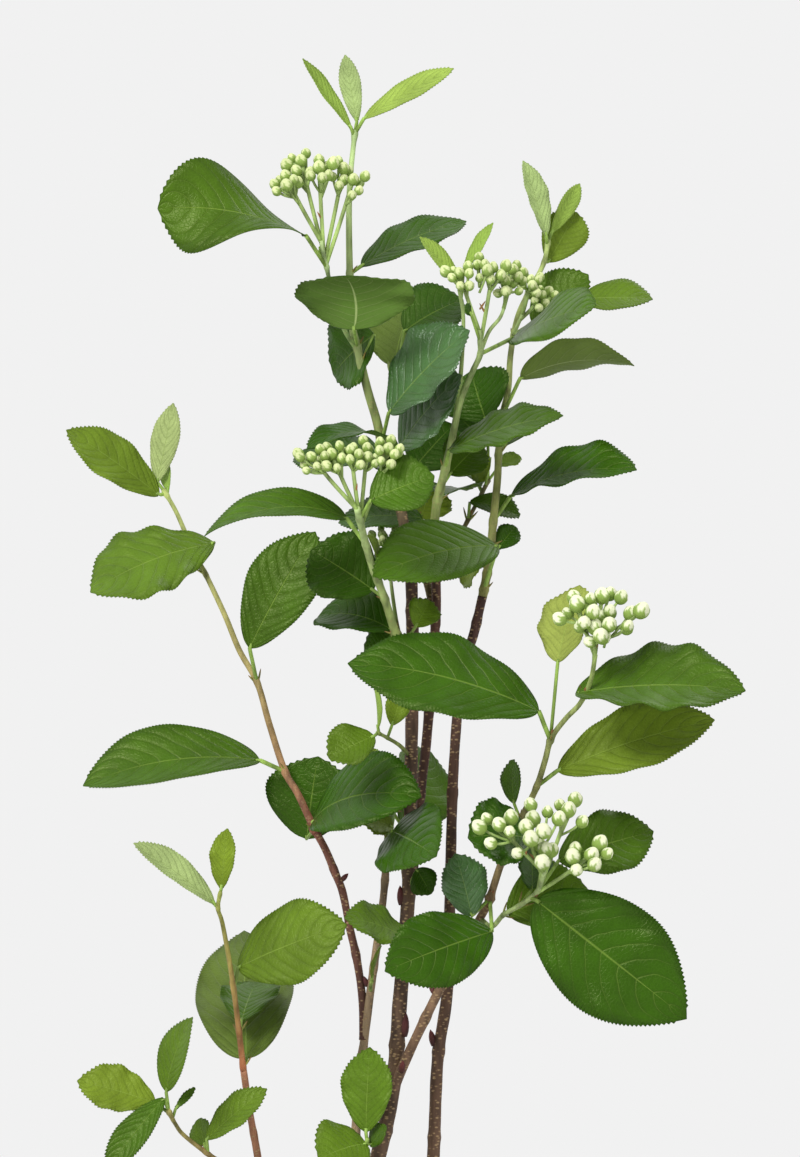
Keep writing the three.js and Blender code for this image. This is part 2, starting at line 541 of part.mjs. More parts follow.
    leaves: [
      leaf(65, -173, 37, 35.5, 12, { arch: 14, face: 50, fold: 24, stalk: [2.3, 49, -157] }),
      leaf(72, 22, 84, 21, 10, { arch: 10, face: 50, fold: 26, stalk: [2.6, 77, 20] }),
      leaf(31, -21, 21, 44.5, 31, { face: 68, fold: 3, stalk: [8, 78, 31] }),
      leaf(2, 92, 36, 72.5, 35, { arch: 12, face: 8, fold: 4, peak: 0.48, stalk: [4, 40, 69] }),
      leaf(15, 80, 22, 32, 21, { arch: 25, face: 0, fold: 10, stalk: [6, 37, 80] }),
    ],
  },
  {
    name: 'lowest', node: 'foliage_lowest', on: 'stem_low', radii: [0.9, 0.7],
    route: [[-29, -13, 402], [-36.5, -17.5, 408], [-47, -24.5, 414.5], [-56, -30.5, 422], [-59, -36,
      426.5], [-61.5, -42, 432]],
    leaves: [
      leaf(52, -179, 16, 28.5, 18, { arch: 15, fold: 14, stalk: [6.5, 36, 173] }),
      leaf(53, -22, 69, 28.5, 16, { arch: 30, twist: -30, fold: 10, stalk: [7.5, 74, 120] }),
      leaf(53, -157, -49, 33.5, 12, { arch: 15, face: 48, fold: 15, stalk: [5.5, 65, -139] }),
      leaf(49, 21, 45, 10, 3, { arch: 5, face: 50, fold: 15, stalk: [4, 71, 20] }),
      leaf(26, -7, 40, 28, 13, { arch: 15, face: 55, fold: 12, stalk: [6, 67, -99] }),
      leaf(27, 118, 62, 10.5, 10, { arch: 10, face: 70, fold: 10, stalk: [2.5, 70, 115] }),
    ],
  },
  {
    name: 'centre_low', node: 'foliage_centre_low', on: 'stem_left', radii: [0.9, 0.6],
    route: [[2.5, 6, 399.5], [4.5, -2.5, 407], [7, -12, 413.5], [8.5, -18, 420]],
    leaves: [
      leaf(31, 51, 86, 30, 19, { arch: 10, face: 20, stalk: [3.5, 76, -115] }),
      leaf(29, -149, -14, 20.5, 24, { arch: 35, face: 45, fold: 12, stalk: [1.9, 22, -91] }),
      leaf(31, -31, 48, 10, 9, { arch: 10, face: 65, fold: 12, stalk: [2.1, -57, 23] }),
    ],
  },
  {
    name: 'spur_upper', node: 'foliage_spur_upper', on: 'stem_main', radii: [0.9, 0.7],
    route: [[24, -2, 508], [24.5, -5, 511], [25.5, -7, 513.5]],
    leaves: [
      leaf(8, -54, -45, 12, 11, { arch: 10, fold: 10, stalk: [2.1, 50, -65] }),
    ],
  },
  {
    name: 'spur_lower', node: 'foliage_spur_lower', on: 'stem_main', radii: [1, 0.7],
    route: [[21.5, -3, 482], [22.5, -7, 485.5], [23.5, -9, 488.5]],
    leaves: [
      leaf(9, -150, 18, 28.5, 20, { arch: 30, face: 44, fold: 6, stalk: [2.9, 33, -88] }),
    ],
  },
  {
    name: 'spur_left', node: 'foliage_spur_left', on: 'stem_left', radii: [0.8, 0.6],
    route: [[9.5, 4, 470.5], [9.5, 1, 473], [10, -1, 475]],
    leaves: [
      leaf(7, -58, 62, 13, 7, { arch: 10, face: 50, fold: 20, stalk: [1.6, 55, -89] }),
    ],
  },
  {
    name: 'base_left', node: 'foliage_base_left', on: 'stem_low', radii: [1.1, 0.7],
    route: [[-23, -11, 328.5], [-28, -16, 333.5], [-35.5, -24, 341.5], [-41.5, -30, 348.5]],
    seeded: { count: 4, long: 40, start: 150 },
  },
  {
    name: 'base_right', node: 'foliage_base_right', on: 'stem_right', radii: [1.1, 0.7],
    route: [[27.5, 11, 324], [34.5, 16, 332], [44, 22, 340.5], [51, 28, 347]],
    seeded: { count: 4, long: 42, start: 30 },
  },
  {
    name: 'base_front', node: 'foliage_base_front', on: 'stem_main', radii: [1.1, 0.7],
    route: [[2.5, -10, 328], [7.5, -20, 335.5], [15, -32, 346.5], [20, -42, 356.5]],
    seeded: { count: 4, long: 38, start: -80 },
  },
  {
    name: 'base_back', node: 'foliage_base_back', on: 'stem_left', radii: [1.1, 0.7],
    route: [[-5, 9, 288.5], [-9, 20, 295], [-14.5, 34, 303], [-18.5, 46, 310.5]],
    seeded: { count: 4, long: 42, start: 100 },
  },
];

// Low shoots under the crown, whose leaves follow a seeded rule: `count` leaves from the
// tip downwards, a two-fifths turn apart, at most `long` mm each
const LEAF_TURN = 144;
const LEAF_SPACING = 9;

function seededLeaves(shoot, random) {
  const leaves = [];
  const { count, long, start } = shoot.seeded;
  for (let index = 0; index < count; index += 1) {
    const way = start + index * LEAF_TURN + (random() - 0.5) * 30;
    const rise = 50 - 34 * Math.sqrt(index / count) + (random() - 0.5) * 14;
    const size = long * (0.62 + 0.38 * Math.sin(Math.PI * (index + 1) / (count + 1)))
      * (0.9 + 0.2 * random());
    leaves.push(leaf(shoot.length - 0.5 - index * LEAF_SPACING, way, rise, size, size * 0.66, {
      arch: 22 + 16 * random(),
      face: 0,
      fold: 9,
      stalk: [5 + 2 * random(), rise + 18, way],
    }));
  }
  return leaves;
}

// Pot: a turned shell with a folded rim and round drain holes in its floor
function potBody() {
  const outer = (height) => THREE.MathUtils.lerp(POT_FOOT_RADIUS, POT_NECK_RADIUS,
    height / (POT_HEIGHT - POT_RIM_DEPTH));
  const lower = POT_HEIGHT - POT_RIM_DEPTH;
  const profile = [
    [0, 0],
    [POT_FOOT_RADIUS - 2, 0],
    [outer(2), 2],
    [outer(lower), lower],
    [POT_RIM_RADIUS - 1.2, lower + 0.8],
    [POT_RIM_RADIUS, POT_HEIGHT - 1.5],
    [POT_RIM_RADIUS - 1, POT_HEIGHT],
    [POT_RIM_RADIUS - POT_WALL - 1.2, POT_HEIGHT],
    [outer(lower) - POT_WALL + 0.5, lower + 2],
    [outer(POT_FLOOR) - POT_WALL, POT_FLOOR],
    [0, POT_FLOOR],
  ].map(([radius, height]) => new THREE.Vector2(radius, height));
  const shell = new THREE.LatheGeometry(profile, POT_SIDES);
  shell.rotateX(Math.PI / 2);
  let body = solid(shell);
  for (let index = 0; index < DRAIN_COUNT; index += 1) {
    const turn = (index + 0.5) * 2 * Math.PI / DRAIN_COUNT;
    const drain = new THREE.CylinderGeometry(DRAIN_RADIUS, DRAIN_RADIUS, POT_FLOOR * 3, 12);
    drain.rotateX(Math.PI / 2);
    drain.translate(DRAIN_CIRCLE * Math.cos(turn), DRAIN_CIRCLE * Math.sin(turn), 0);
    body = body.subtract(solid(drain));
  }
  return body;
}

function compostBody() {
  const lower = POT_HEIGHT - POT_RIM_DEPTH;
  const inner = (height) => THREE.MathUtils.lerp(POT_FOOT_RADIUS, POT_NECK_RADIUS,
    height / lower) - POT_WALL - GAP - 0.2;
  const base = POT_FLOOR + GAP;
  const profile = [
    [0, base],
    [inner(base), base],
    [inner(COMPOST_LEVEL - 6), COMPOST_LEVEL - 6],
    [inner(COMPOST_LEVEL - 6) - 3, COMPOST_LEVEL],
    [0, COMPOST_LEVEL],
  ].map(([radius, height]) => new THREE.Vector2(radius, height));
  const block = new THREE.LatheGeometry(profile, POT_SIDES);
  block.rotateX(Math.PI / 2);
  return solid(block);
}

// Everything below the stems' flat cut
function groundBody() {
  const depth = 60;
  const block = new THREE.BoxGeometry(300, 300, depth);
  block.translate(0, 0, COMPOST_LEVEL + GAP - depth / 2);
  return solid(block);
}

const plant = new THREE.Group();

function addNode(name, body, colour, roughness) {
  const material = new THREE.MeshStandardMaterial({ color: colour, roughness, metalness: 0 });
  const mesh = new THREE.Mesh(geometryOf(body), material);
  mesh.name = name;
  plant.add(mesh);
}

addNode('pot', potBody(), 0x1d1e1f, 0.55);
addNode('compost', compostBody(), 0x3a2a1f, 0.95);

// Every limb and shoot by name, so that each can be cut clear of the one that carries it
const grown = new Map();
for (const spec of [...LIMBS, ...SHOOTS]) {
  const curve = curveThrough(spec.route);
  grown.set(spec.name, { ...spec, curve, length: curve.getLength() });
}

const ground = groundBody();

function barkBody(member, extra = 0) {
  const isLimb = member.node === undefined;
  return limbBody(member.curve, member.radii, {
    sides: isLimb ? LIMB_SIDES : SHOOT_SIDES,
    step: isLimb ? LIMB_STEP : SHOOT_STEP,
    flare: member.on === null ? FLARE : 0,
    extra,
  });
}

for (const { name, on } of LIMBS) {
  const member = grown.get(name);
  let body = barkBody(member);
  body = on === null ? body.subtract(ground) : body.subtract(barkBody(grown.get(on), GAP));
  addNode(name, largest(body), STEM_COLOUR, 0.8);
}

// The space that the limbs keep clear around themselves
const limbSpace = fuse(LIMBS.map(({ name }) => barkBody(grown.get(name), GAP)));

const random = randomStream(SEED);
const masses = new Map();
for (const { name, node } of SHOOTS) {
  const member = grown.get(name);
  const leaves = [...(member.leaves ?? []), ...(member.seeded ? seededLeaves(member, random) : [])];
  const bodies = [barkBody(member), ...corymbBodies(member, random)];
  for (const spec of leaves.filter(({ long }) => long >= LEAST_BLADE)) {
    bodies.push(leafBody(member, spec));
  }
  if (!masses.has(node)) {
    masses.set(node, []);
  }
  masses.get(node).push(...bodies);
}

for (const [node, bodies] of masses) {
  addNode(node, largest(fuse(bodies).subtract(limbSpace)), LEAF_COLOUR, 0.5);
}

export default plant;
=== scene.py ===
# %% [markdown]
# # A young chokeberry in its nursery pot
# The plant is a shrub bought in spring: a few slender stems rise from the compost, part
# into boughs and end in leafy shoots, some of them topped by a cluster of flower buds.
# Everything is grown by a few small functions from named sizes in millimetres, so that one
# leaf is a line of numbers and not a mesh drawn by hand.

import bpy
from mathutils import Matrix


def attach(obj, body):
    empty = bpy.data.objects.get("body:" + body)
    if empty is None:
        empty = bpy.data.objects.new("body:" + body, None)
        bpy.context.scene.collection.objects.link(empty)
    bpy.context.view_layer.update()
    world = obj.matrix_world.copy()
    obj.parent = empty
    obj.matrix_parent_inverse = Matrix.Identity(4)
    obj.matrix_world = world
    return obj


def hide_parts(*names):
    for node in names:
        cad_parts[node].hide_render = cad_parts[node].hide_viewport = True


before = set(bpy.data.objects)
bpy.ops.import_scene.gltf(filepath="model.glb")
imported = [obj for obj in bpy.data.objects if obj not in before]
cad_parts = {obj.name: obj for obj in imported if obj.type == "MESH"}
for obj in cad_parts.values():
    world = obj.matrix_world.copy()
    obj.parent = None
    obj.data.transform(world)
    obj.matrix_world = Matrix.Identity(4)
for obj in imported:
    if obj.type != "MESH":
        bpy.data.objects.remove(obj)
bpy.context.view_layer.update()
print("solids:", len(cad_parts))

# %% Blender's own modules
import math

import bmesh
import bpy
from mathutils import Matrix, Vector

MM = 0.001

# %% [markdown]
# The camera stands two and a half metres in front of the plant and looks at it level, with a
# long lens. A long lens keeps the stems' lean and the leaves' sizes true, as in a catalogue
# picture. The lens is worked out from the height that the picture takes in.

# %% Camera
CAMERA_X = 20
CAMERA_Z = 618.5
CAMERA_DISTANCE = 2500
PICTURE_HEIGHT = 413.05
SENSOR = 36

camera_data = bpy.data.cameras.new("camera")
camera_data.sensor_width = SENSOR
camera_data.lens = SENSOR * CAMERA_DISTANCE / PICTURE_HEIGHT
camera = bpy.data.objects.new("camera", camera_data)
camera.location = Vector((CAMERA_X, -CAMERA_DISTANCE, CAMERA_Z)) * MM
camera.rotation_euler = (math.radians(90), 0, 0)
bpy.context.collection.objects.link(camera)
bpy.context.scene.camera = camera
print("lens in mm:", round(camera_data.lens, 1))

# %% [markdown]
# A node material is a small graph. One function adds a node, sets it up, links what feeds it
# and hands back one of its outputs, so that each material below reads as a list of what it
# is made of. Colours are written as the usual hex values and turned to the linear light that
# the shader works in. A pattern's scale is one over the size of its cells.

# %% Helpers for materials
def linear(hex_colour):
    channels = [int(hex_colour[i:i + 2], 16) / 255 for i in (1, 3, 5)]
    light = [c / 12.92 if c <= 0.04045 else ((c + 0.055) / 1.055) ** 2.4 for c in channels]
    return (*light, 1)


def feed(tree, node, inputs):
    """Link an input to another node's output, or give it a value of its own."""
    for name, value in inputs.items():
        if isinstance(value, bpy.types.NodeSocket):
            tree.links.new(value, node.inputs[name])
        else:
            node.inputs[name].default_value = value


def add(tree, kind, inputs=None, output=None, **settings):
    """Add a node and return the named output, or the first one that is in use."""
    node = tree.nodes.new(kind)
    for name, value in settings.items():
        setattr(node, name, value)
    feed(tree, node, inputs or {})
    if output:
        return node.outputs[output]
    return next(socket for socket in node.outputs if socket.enabled)


def new_material(name):
    material = bpy.data.materials.new(name)
    material.use_nodes = True
    print("material:", name)
    return material, material.node_tree, material.node_tree.nodes["Principled BSDF"]


# %% [markdown]
# The studio is a pale floor of matt paper, which takes a soft shadow and gives no glare. The
# plant is looked at from all round, so no wall stands behind it.

# %% Floor
FLOOR_RADIUS = 4.4
FLOOR_SIDES = 128

bm = bmesh.new()
bmesh.ops.create_circle(bm, cap_ends=True, segments=FLOOR_SIDES, radius=FLOOR_RADIUS)
bmesh.ops.recalc_face_normals(bm, faces=bm.faces)
floor_mesh = bpy.data.meshes.new("floor")
bm.to_mesh(floor_mesh)
bm.free()
floor = bpy.data.objects.new("floor", floor_mesh)
bpy.context.collection.objects.link(floor)

paper, tree, shader = new_material("matt backdrop paper")
feed(tree, shader, {"Base Color": linear("#e6e6e8"), "Roughness": 0.95})
floor.data.materials.append(paper)

# %% [markdown]
# The light is soft. A large key lamp shines from above to the left, a weak one fills the
# shadows from the right, and one behind lights up the edges of the leaves. The world adds
# pale light from all round and is brighter behind the plant, as a lit backdrop is: its
# strength rises with the part of the looking direction that points to the back.

# %% Light
LIT_POINT = Vector((0.02, 0, 0.6))
WORLD_STRENGTH = 0.68
BACKDROP_STRENGTH = 0.955
BACKDROP_EDGE = 0.1
BACKDROP_FULL = 0.45


def lamp(name, place, size, watts):
    data = bpy.data.lights.new(name, "AREA")
    data.shape = "DISK"
    data.size = size
    data.energy = watts
    made = bpy.data.objects.new(name, data)
    made.location = place
    made.rotation_euler = (LIT_POINT - Vector(place)).to_track_quat("-Z", "Y").to_euler()
    bpy.context.collection.objects.link(made)
    print("lamp:", name, "in watts:", watts)


lamp("key", (-1.1, -1.7, 2.3), 1.1, 56)
lamp("fill", (1.7, -1.9, 1.1), 1.6, 8)
lamp("back", (0.9, 1.1, 2.2), 1.2, 8)

world = bpy.data.worlds.new("studio")
world.use_nodes = True
tree = world.node_tree
looking = add(tree, "ShaderNodeTexCoord", output="Generated")
backward = add(tree, "ShaderNodeSeparateXYZ", {"Vector": looking}, "Y")
strength = add(tree, "ShaderNodeMapRange", {
    "Value": backward, "From Min": BACKDROP_EDGE, "From Max": BACKDROP_FULL,
    "To Min": WORLD_STRENGTH, "To Max": BACKDROP_STRENGTH,
}, interpolation_type="SMOOTHSTEP")
feed(tree, tree.nodes["Background"], {"Color": linear("#f6f6f6"), "Strength": strength})
bpy.context.scene.world = world
bpy.context.scene.view_settings.view_transform = "Standard"

# %% [markdown]
# Each shape below is built as a bmesh and then becomes an object. The object rides on the
# plant's one body, gets its materials, and stands for the solids that it dresses.

# %% From a bmesh to a piece
def piece(name, bm, materials, nodes=(), smooth=True):
    for face in bm.faces:
        face.smooth = smooth
    bmesh.ops.recalc_face_normals(bm, faces=bm.faces)
    mesh = bpy.data.meshes.new(name)
    bm.to_mesh(mesh)
    bm.free()
    for material in materials:
        mesh.materials.append(material)
    made = bpy.data.objects.new(name, mesh)
    bpy.context.collection.objects.link(made)
    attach(made, "root")
    if nodes:
        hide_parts(*nodes)
    print(name, "faces:", len(mesh.polygons))


# %% [markdown]
# The pot is a plain black nursery pot, moulded in recycled polypropylene. It is one profile
# turned about the upright axis: flat foot, leaning wall, a rim band with a rolled edge, and
# the inside. The solid's drain holes lie under the compost, out of sight, so this skin has
# none. First comes the profile, from the middle of the foot out, up and in again: a row is a
# radius and a height.

# %% Pot shape
POT_HEIGHT = 200
POT_FOOT_RADIUS = 82
POT_NECK_RADIUS = 107.5
POT_RIM_RADIUS = 112.5
POT_RIM_DEPTH = 20
POT_WALL = 2.2
POT_FLOOR = 3
FOOT_EDGE = 2
STACKING_RING = 26
RING_STEP = 0.5
RIM_LEAN = 1.2
LIP_EDGE = 1
RIM_FOOT = POT_HEIGHT - POT_RIM_DEPTH


def wall_radius(height):
    return POT_FOOT_RADIUS + (POT_NECK_RADIUS - POT_FOOT_RADIUS) * height / RIM_FOOT


profile = [
    (0, 0),
    (POT_FOOT_RADIUS - FOOT_EDGE, 0),
    (wall_radius(FOOT_EDGE), FOOT_EDGE),
    (wall_radius(STACKING_RING), STACKING_RING),
    (wall_radius(STACKING_RING + 1) - RING_STEP, STACKING_RING + 1.2),
    (wall_radius(RIM_FOOT), RIM_FOOT),
    (POT_RIM_RADIUS - RIM_LEAN, RIM_FOOT + 0.8),
    (POT_RIM_RADIUS - RIM_LEAN / 2, RIM_FOOT + 9),
    (POT_RIM_RADIUS, POT_HEIGHT - 1.5),
    (POT_RIM_RADIUS - LIP_EDGE, POT_HEIGHT),
    (POT_RIM_RADIUS - POT_WALL - RIM_LEAN, POT_HEIGHT),
    (wall_radius(RIM_FOOT) - POT_WALL + 0.5, RIM_FOOT + 2),
    (wall_radius(POT_FLOOR) - POT_WALL, POT_FLOOR),
    (0, POT_FLOOR),
]
print("rows of the pot's profile:", len(profile))

# %% [markdown]
# A turned shape is a spin of its profile. The sharp edges then get a small bevel, because
# moulded plastic has no knife edges, and light catches on the rounding.

# %% Turn the pot
POT_SIDES = 96
SHARP_ANGLE = 35
EDGE_ROUND = 0.4
WELD = 1e-6

bm = bmesh.new()
ring = [bm.verts.new((radius * MM, 0, height * MM)) for radius, height in profile]
lines = [bm.edges.new(pair) for pair in zip(ring, ring[1:])]
bmesh.ops.spin(bm, geom=ring + lines, cent=(0, 0, 0), axis=(0, 0, 1), dvec=(0, 0, 0),
               angle=math.tau, steps=POT_SIDES, use_merge=True, use_duplicate=False)
bmesh.ops.remove_doubles(bm, verts=bm.verts, dist=WELD)
bmesh.ops.recalc_face_normals(bm, faces=bm.faces)
sharp = [
    edge for edge in bm.edges
    if len(edge.link_faces) == 2 and edge.calc_face_angle(0) > math.radians(SHARP_ANGLE)
]
bmesh.ops.bevel(bm, geom=sharp, affect="EDGES", offset=EDGE_ROUND * MM, segments=2,
                profile=0.5, material=-1)
print("edges rounded:", len(sharp))

# %% [markdown]
# Recycled polypropylene comes out of the mould almost black, with a fine even grain and a
# low sheen. The grain is drawn a little coarser than the real one, so that it shows. Handling
# leaves dull scuffs and dry compost leaves a little dust, so the roughness and the colour
# change from place to place.

# %% Pot material
SCUFF = 26.3
MOULD_GRAIN = 0.4545

pot_plastic, tree, shader = new_material("moulded recycled polypropylene")
place = add(tree, "ShaderNodeTexCoord", output="Object")
scuffs = add(tree, "ShaderNodeTexNoise",
             {"Vector": place, "Scale": 1 / (SCUFF * MM), "Detail": 6})
grain = add(tree, "ShaderNodeTexNoise",
            {"Vector": place, "Scale": 1 / (MOULD_GRAIN * MM), "Detail": 2})
dusty = add(tree, "ShaderNodeMapRange", {"Value": scuffs, "From Min": 0.38, "From Max": 0.78})
colour = add(tree, "ShaderNodeMix",
             {"Factor": dusty, "A": linear("#1b1c1d"), "B": linear("#3a3733")},
             data_type="RGBA")
dull = add(tree, "ShaderNodeMapRange", {"Value": scuffs, "To Min": 0.42, "To Max": 0.66})
relief = add(tree, "ShaderNodeBump", {"Height": grain, "Strength": 0.25, "Distance": 0.1 * MM})
feed(tree, shader, {"Base Color": colour, "Roughness": dull, "Normal": relief})
piece("nursery_pot", bm, [pot_plastic], ["pot"])

# %% [markdown]
# Nothing in nature is even, and a script has to make the same plant each time it runs. A
# short rule that turns each number into the next gives numbers that look thrown and are not.

# %% Repeatable numbers
def stream(seed):
    """Yield numbers from 0 to 1, the same ones for the same seed."""
    state = seed
    while True:
        state = state * 16807 % 2147483647
        yield state / 2147483647


# %% [markdown]
# Potting compost is dark peat and fine bark, level but never flat. A disc is inset again and
# again until it has many small faces. Slow waves and noise lift them, and a skirt closes it.

# %% Compost
COMPOST_SEED = 77
COMPOST_LEVEL = 180
COMPOST_GAP = 0.8
COMPOST_SIDES = 72
RINGS = 26
WAVES_X = 173
WAVES_Y = 211
WAVES_SKEW = 61
SWELL = 0.8
CRUMB = 1.6
SKIRT = 12

numbers = stream(COMPOST_SEED)
compost_radius = wall_radius(COMPOST_LEVEL) - POT_WALL - COMPOST_GAP
bm = bmesh.new()
bmesh.ops.create_circle(bm, cap_ends=True, cap_tris=False, segments=COMPOST_SIDES,
                        radius=compost_radius * MM)
for _ in range(RINGS):
    inner = max(bm.faces, key=lambda face: len(face.verts))
    bmesh.ops.inset_region(bm, faces=[inner], thickness=compost_radius / (RINGS + 2) * MM)
bmesh.ops.translate(bm, verts=bm.verts, vec=(0, 0, (COMPOST_LEVEL - 1) * MM))
for vert in bm.verts:
    bump = math.sin(vert.co.x * WAVES_X + vert.co.y * WAVES_SKEW)
    bump *= math.cos(vert.co.y * WAVES_Y)
    vert.co.z += (bump * SWELL + (next(numbers) - 0.5) * CRUMB - 0.6) * MM
rim = [edge for edge in bm.edges if edge.is_boundary]
skirt = bmesh.ops.extrude_edge_only(bm, edges=rim)
low = [item for item in skirt["geom"] if isinstance(item, bmesh.types.BMVert)]
bmesh.ops.translate(bm, verts=low, vec=(0, 0, -SKIRT * MM))
bmesh.ops.holes_fill(bm, edges=[edge for edge in bm.edges if edge.is_boundary], sides=0)
print("compost faces:", len(bm.faces))

# %% [markdown]
# A few hundred bark chips lie on the compost. Each is a block, squashed, turned and tilted at
# random, with its corners moved a little. Small ones are more common than large ones.

# %% Bark chips
CHIPS = 420
CHIP_REACH = 0.96
SMALLEST_CHIP = 1.2
CHIP_RANGE = 4.5
CHIP_WIDTH = 0.55
CHIP_HEIGHT = 0.22
CHIP_TILT = 0.7
CORNER_SHIFT = 0.3

for _ in range(CHIPS):
    reach = compost_radius * CHIP_REACH * math.sqrt(next(numbers))
    turn = math.tau * next(numbers)
    size = (SMALLEST_CHIP + CHIP_RANGE * next(numbers) ** 2) * MM
    place = Matrix.Translation((reach * math.cos(turn) * MM, reach * math.sin(turn) * MM,
                                (COMPOST_LEVEL - 0.9) * MM))
    tilt = Matrix.Rotation(math.tau * next(numbers), 4, "Z")
    tilt @= Matrix.Rotation((next(numbers) - 0.5) * CHIP_TILT, 4, "X")
    shape = Matrix.Diagonal((size, size * CHIP_WIDTH, size * CHIP_HEIGHT, 1))
    chip = bmesh.ops.create_cube(bm, size=1, matrix=place @ tilt @ shape)
    for vert in chip["verts"]:
        vert.co += Vector([(next(numbers) - 0.5) * CORNER_SHIFT * size for _ in range(3)])
print("bark chips:", CHIPS)

# %% [markdown]
# Moist compost is matt and dark, and its crumbs, which are a few millimetres wide, are brown
# on top. One noise gives both the colour and the relief, so that they agree: the low places
# between the crumbs turn nearly black, which is partly the peat's own colour and partly
# painted shade in the hollows.

# %% Compost material
CRUMB_SPACING = 3.846

peat, tree, shader = new_material("peat and fine bark compost")
place = add(tree, "ShaderNodeTexCoord", output="Object")
clods = add(tree, "ShaderNodeTexNoise", {
    "Vector": place, "Scale": 1 / (CRUMB_SPACING * MM), "Detail": 8, "Roughness": 0.7,
})
# painted shade: the low places of the relief, between the crumbs, are mixed towards near-black
raised = add(tree, "ShaderNodeMapRange", {"Value": clods, "From Min": 0.35, "From Max": 0.7})
colour = add(tree, "ShaderNodeMix",
             {"Factor": raised, "A": linear("#21160f"), "B": linear("#5a4130")},
             data_type="RGBA")
relief = add(tree, "ShaderNodeBump", {"Height": clods, "Strength": 0.8, "Distance": 0.6 * MM})
feed(tree, shader, {"Base Color": colour, "Roughness": 0.95, "Normal": relief})
piece("compost_surface", bm, [peat], ["compost"], smooth=False)

# %% [markdown]
# Young chokeberry bark is thin and smooth: brown on last year's wood, with pale raised pores
# called lenticels, and green and finely hairy on this spring's shoots. One material serves
# both. The colour is painted on the vertices, and its fourth number says how woody the place
# is, which brings in the pores. Blotches and wrinkles run lengthwise, so their pattern is
# stretched upwards. Young bark is rather matt, with little shine.

# %% Bark material
PORE_SPACING = 2.1
WRINKLE = 0.45
BLOTCH = 3
LENGTHWISE = (1, 1, 0.22)
CROSSWISE = (1, 1, 1.9)

bark, tree, shader = new_material("young shrub bark")
place = add(tree, "ShaderNodeTexCoord", output="Object")
painted = add(tree, "ShaderNodeAttribute", output="Color", attribute_name="bark_colour")
woody = add(tree, "ShaderNodeAttribute", output="Alpha", attribute_name="bark_colour")
stretched = add(tree, "ShaderNodeMapping", {"Vector": place, "Scale": LENGTHWISE})
squashed = add(tree, "ShaderNodeMapping", {"Vector": place, "Scale": CROSSWISE})
blotches = add(tree, "ShaderNodeTexNoise",
               {"Vector": stretched, "Scale": 1 / (BLOTCH * MM), "Detail": 6})
wrinkles = add(tree, "ShaderNodeTexNoise",
               {"Vector": stretched, "Scale": 1 / (WRINKLE * MM), "Detail": 3})
cells = add(tree, "ShaderNodeTexVoronoi",
            {"Vector": squashed, "Scale": 1 / (PORE_SPACING * MM)})
dots = add(tree, "ShaderNodeMapRange", {
    "Value": cells, "From Min": 0.2, "From Max": 0.38, "To Min": 0.8, "To Max": 0,
})
pores = add(tree, "ShaderNodeMath", {0: dots, 1: woody}, operation="MULTIPLY")
shade = add(tree, "ShaderNodeMapRange", {
    "Value": blotches, "From Min": 0.32, "From Max": 0.68, "To Min": 0.5, "To Max": 1.42,
})
toned = add(tree, "ShaderNodeVectorMath", {0: painted, "Scale": shade}, operation="SCALE")
colour = add(tree, "ShaderNodeMix",
             {"Factor": pores, "A": toned, "B": linear("#a88c66")}, data_type="RGBA")
ridges = add(tree, "ShaderNodeMath", {0: wrinkles, 1: pores}, operation="ADD")
relief = add(tree, "ShaderNodeBump", {"Height": ridges, "Strength": 0.7, "Distance": 0.3 * MM})
feed(tree, shader, {"Base Color": colour, "Roughness": 0.6, "Specular IOR Level": 0.25,
                    "Normal": relief})

# %% [markdown]
# A stem or a twig is a tapering tube along a smooth curve. The curve passes through a few
# points, so the same small class gives a point and a direction at any distance along it.

# %% A curve through points
class Curve:
    """A smooth curve through points, measured by the distance travelled along it."""

    def __init__(self, route, pieces=24):
        points = [Vector(point) for point in route]
        before = 2 * points[0] - points[1]
        after = 2 * points[-1] - points[-2]
        guide = [before, *points, after]
        self.places = [points[0]]
        for index in range(1, len(points)):
            a, b, c, d = guide[index - 1:index + 3]
            for step in range(1, pieces + 1):
                t = step / pieces
                self.places.append(0.5 * (
                    2 * b + (c - a) * t + (2 * a - 5 * b + 4 * c - d) * t ** 2
                    + (3 * b - a - 3 * c + d) * t ** 3))
        self.travelled = [0]
        for first, second in zip(self.places, self.places[1:]):
            self.travelled.append(self.travelled[-1] + (second - first).length)
        self.length = self.travelled[-1]

    def at(self, distance):
        distance = min(max(distance, 0), self.length)
        low = 0
        high = len(self.travelled) - 1
        while high - low > 1:
            middle = (low + high) // 2
            if self.travelled[middle] > distance:
                high = middle
            else:
                low = middle
        share = (distance - self.travelled[low]) / (self.travelled[high] - self.travelled[low])
        return self.places[low].lerp(self.places[high], share)

    def along(self, distance):
        return (self.at(distance + 0.5) - self.at(distance - 0.5)).normalized()


# %% [markdown]
# The tube starts as a flat grid that is rolled up around the curve. The first and the last
# row of the grid shrink to a point, which closes the two ends, and welding the vertices that
# meet closes the seam. Colours are painted on the vertices, from the foot of the limb to its
# tip, so the bark can turn from brown to green.

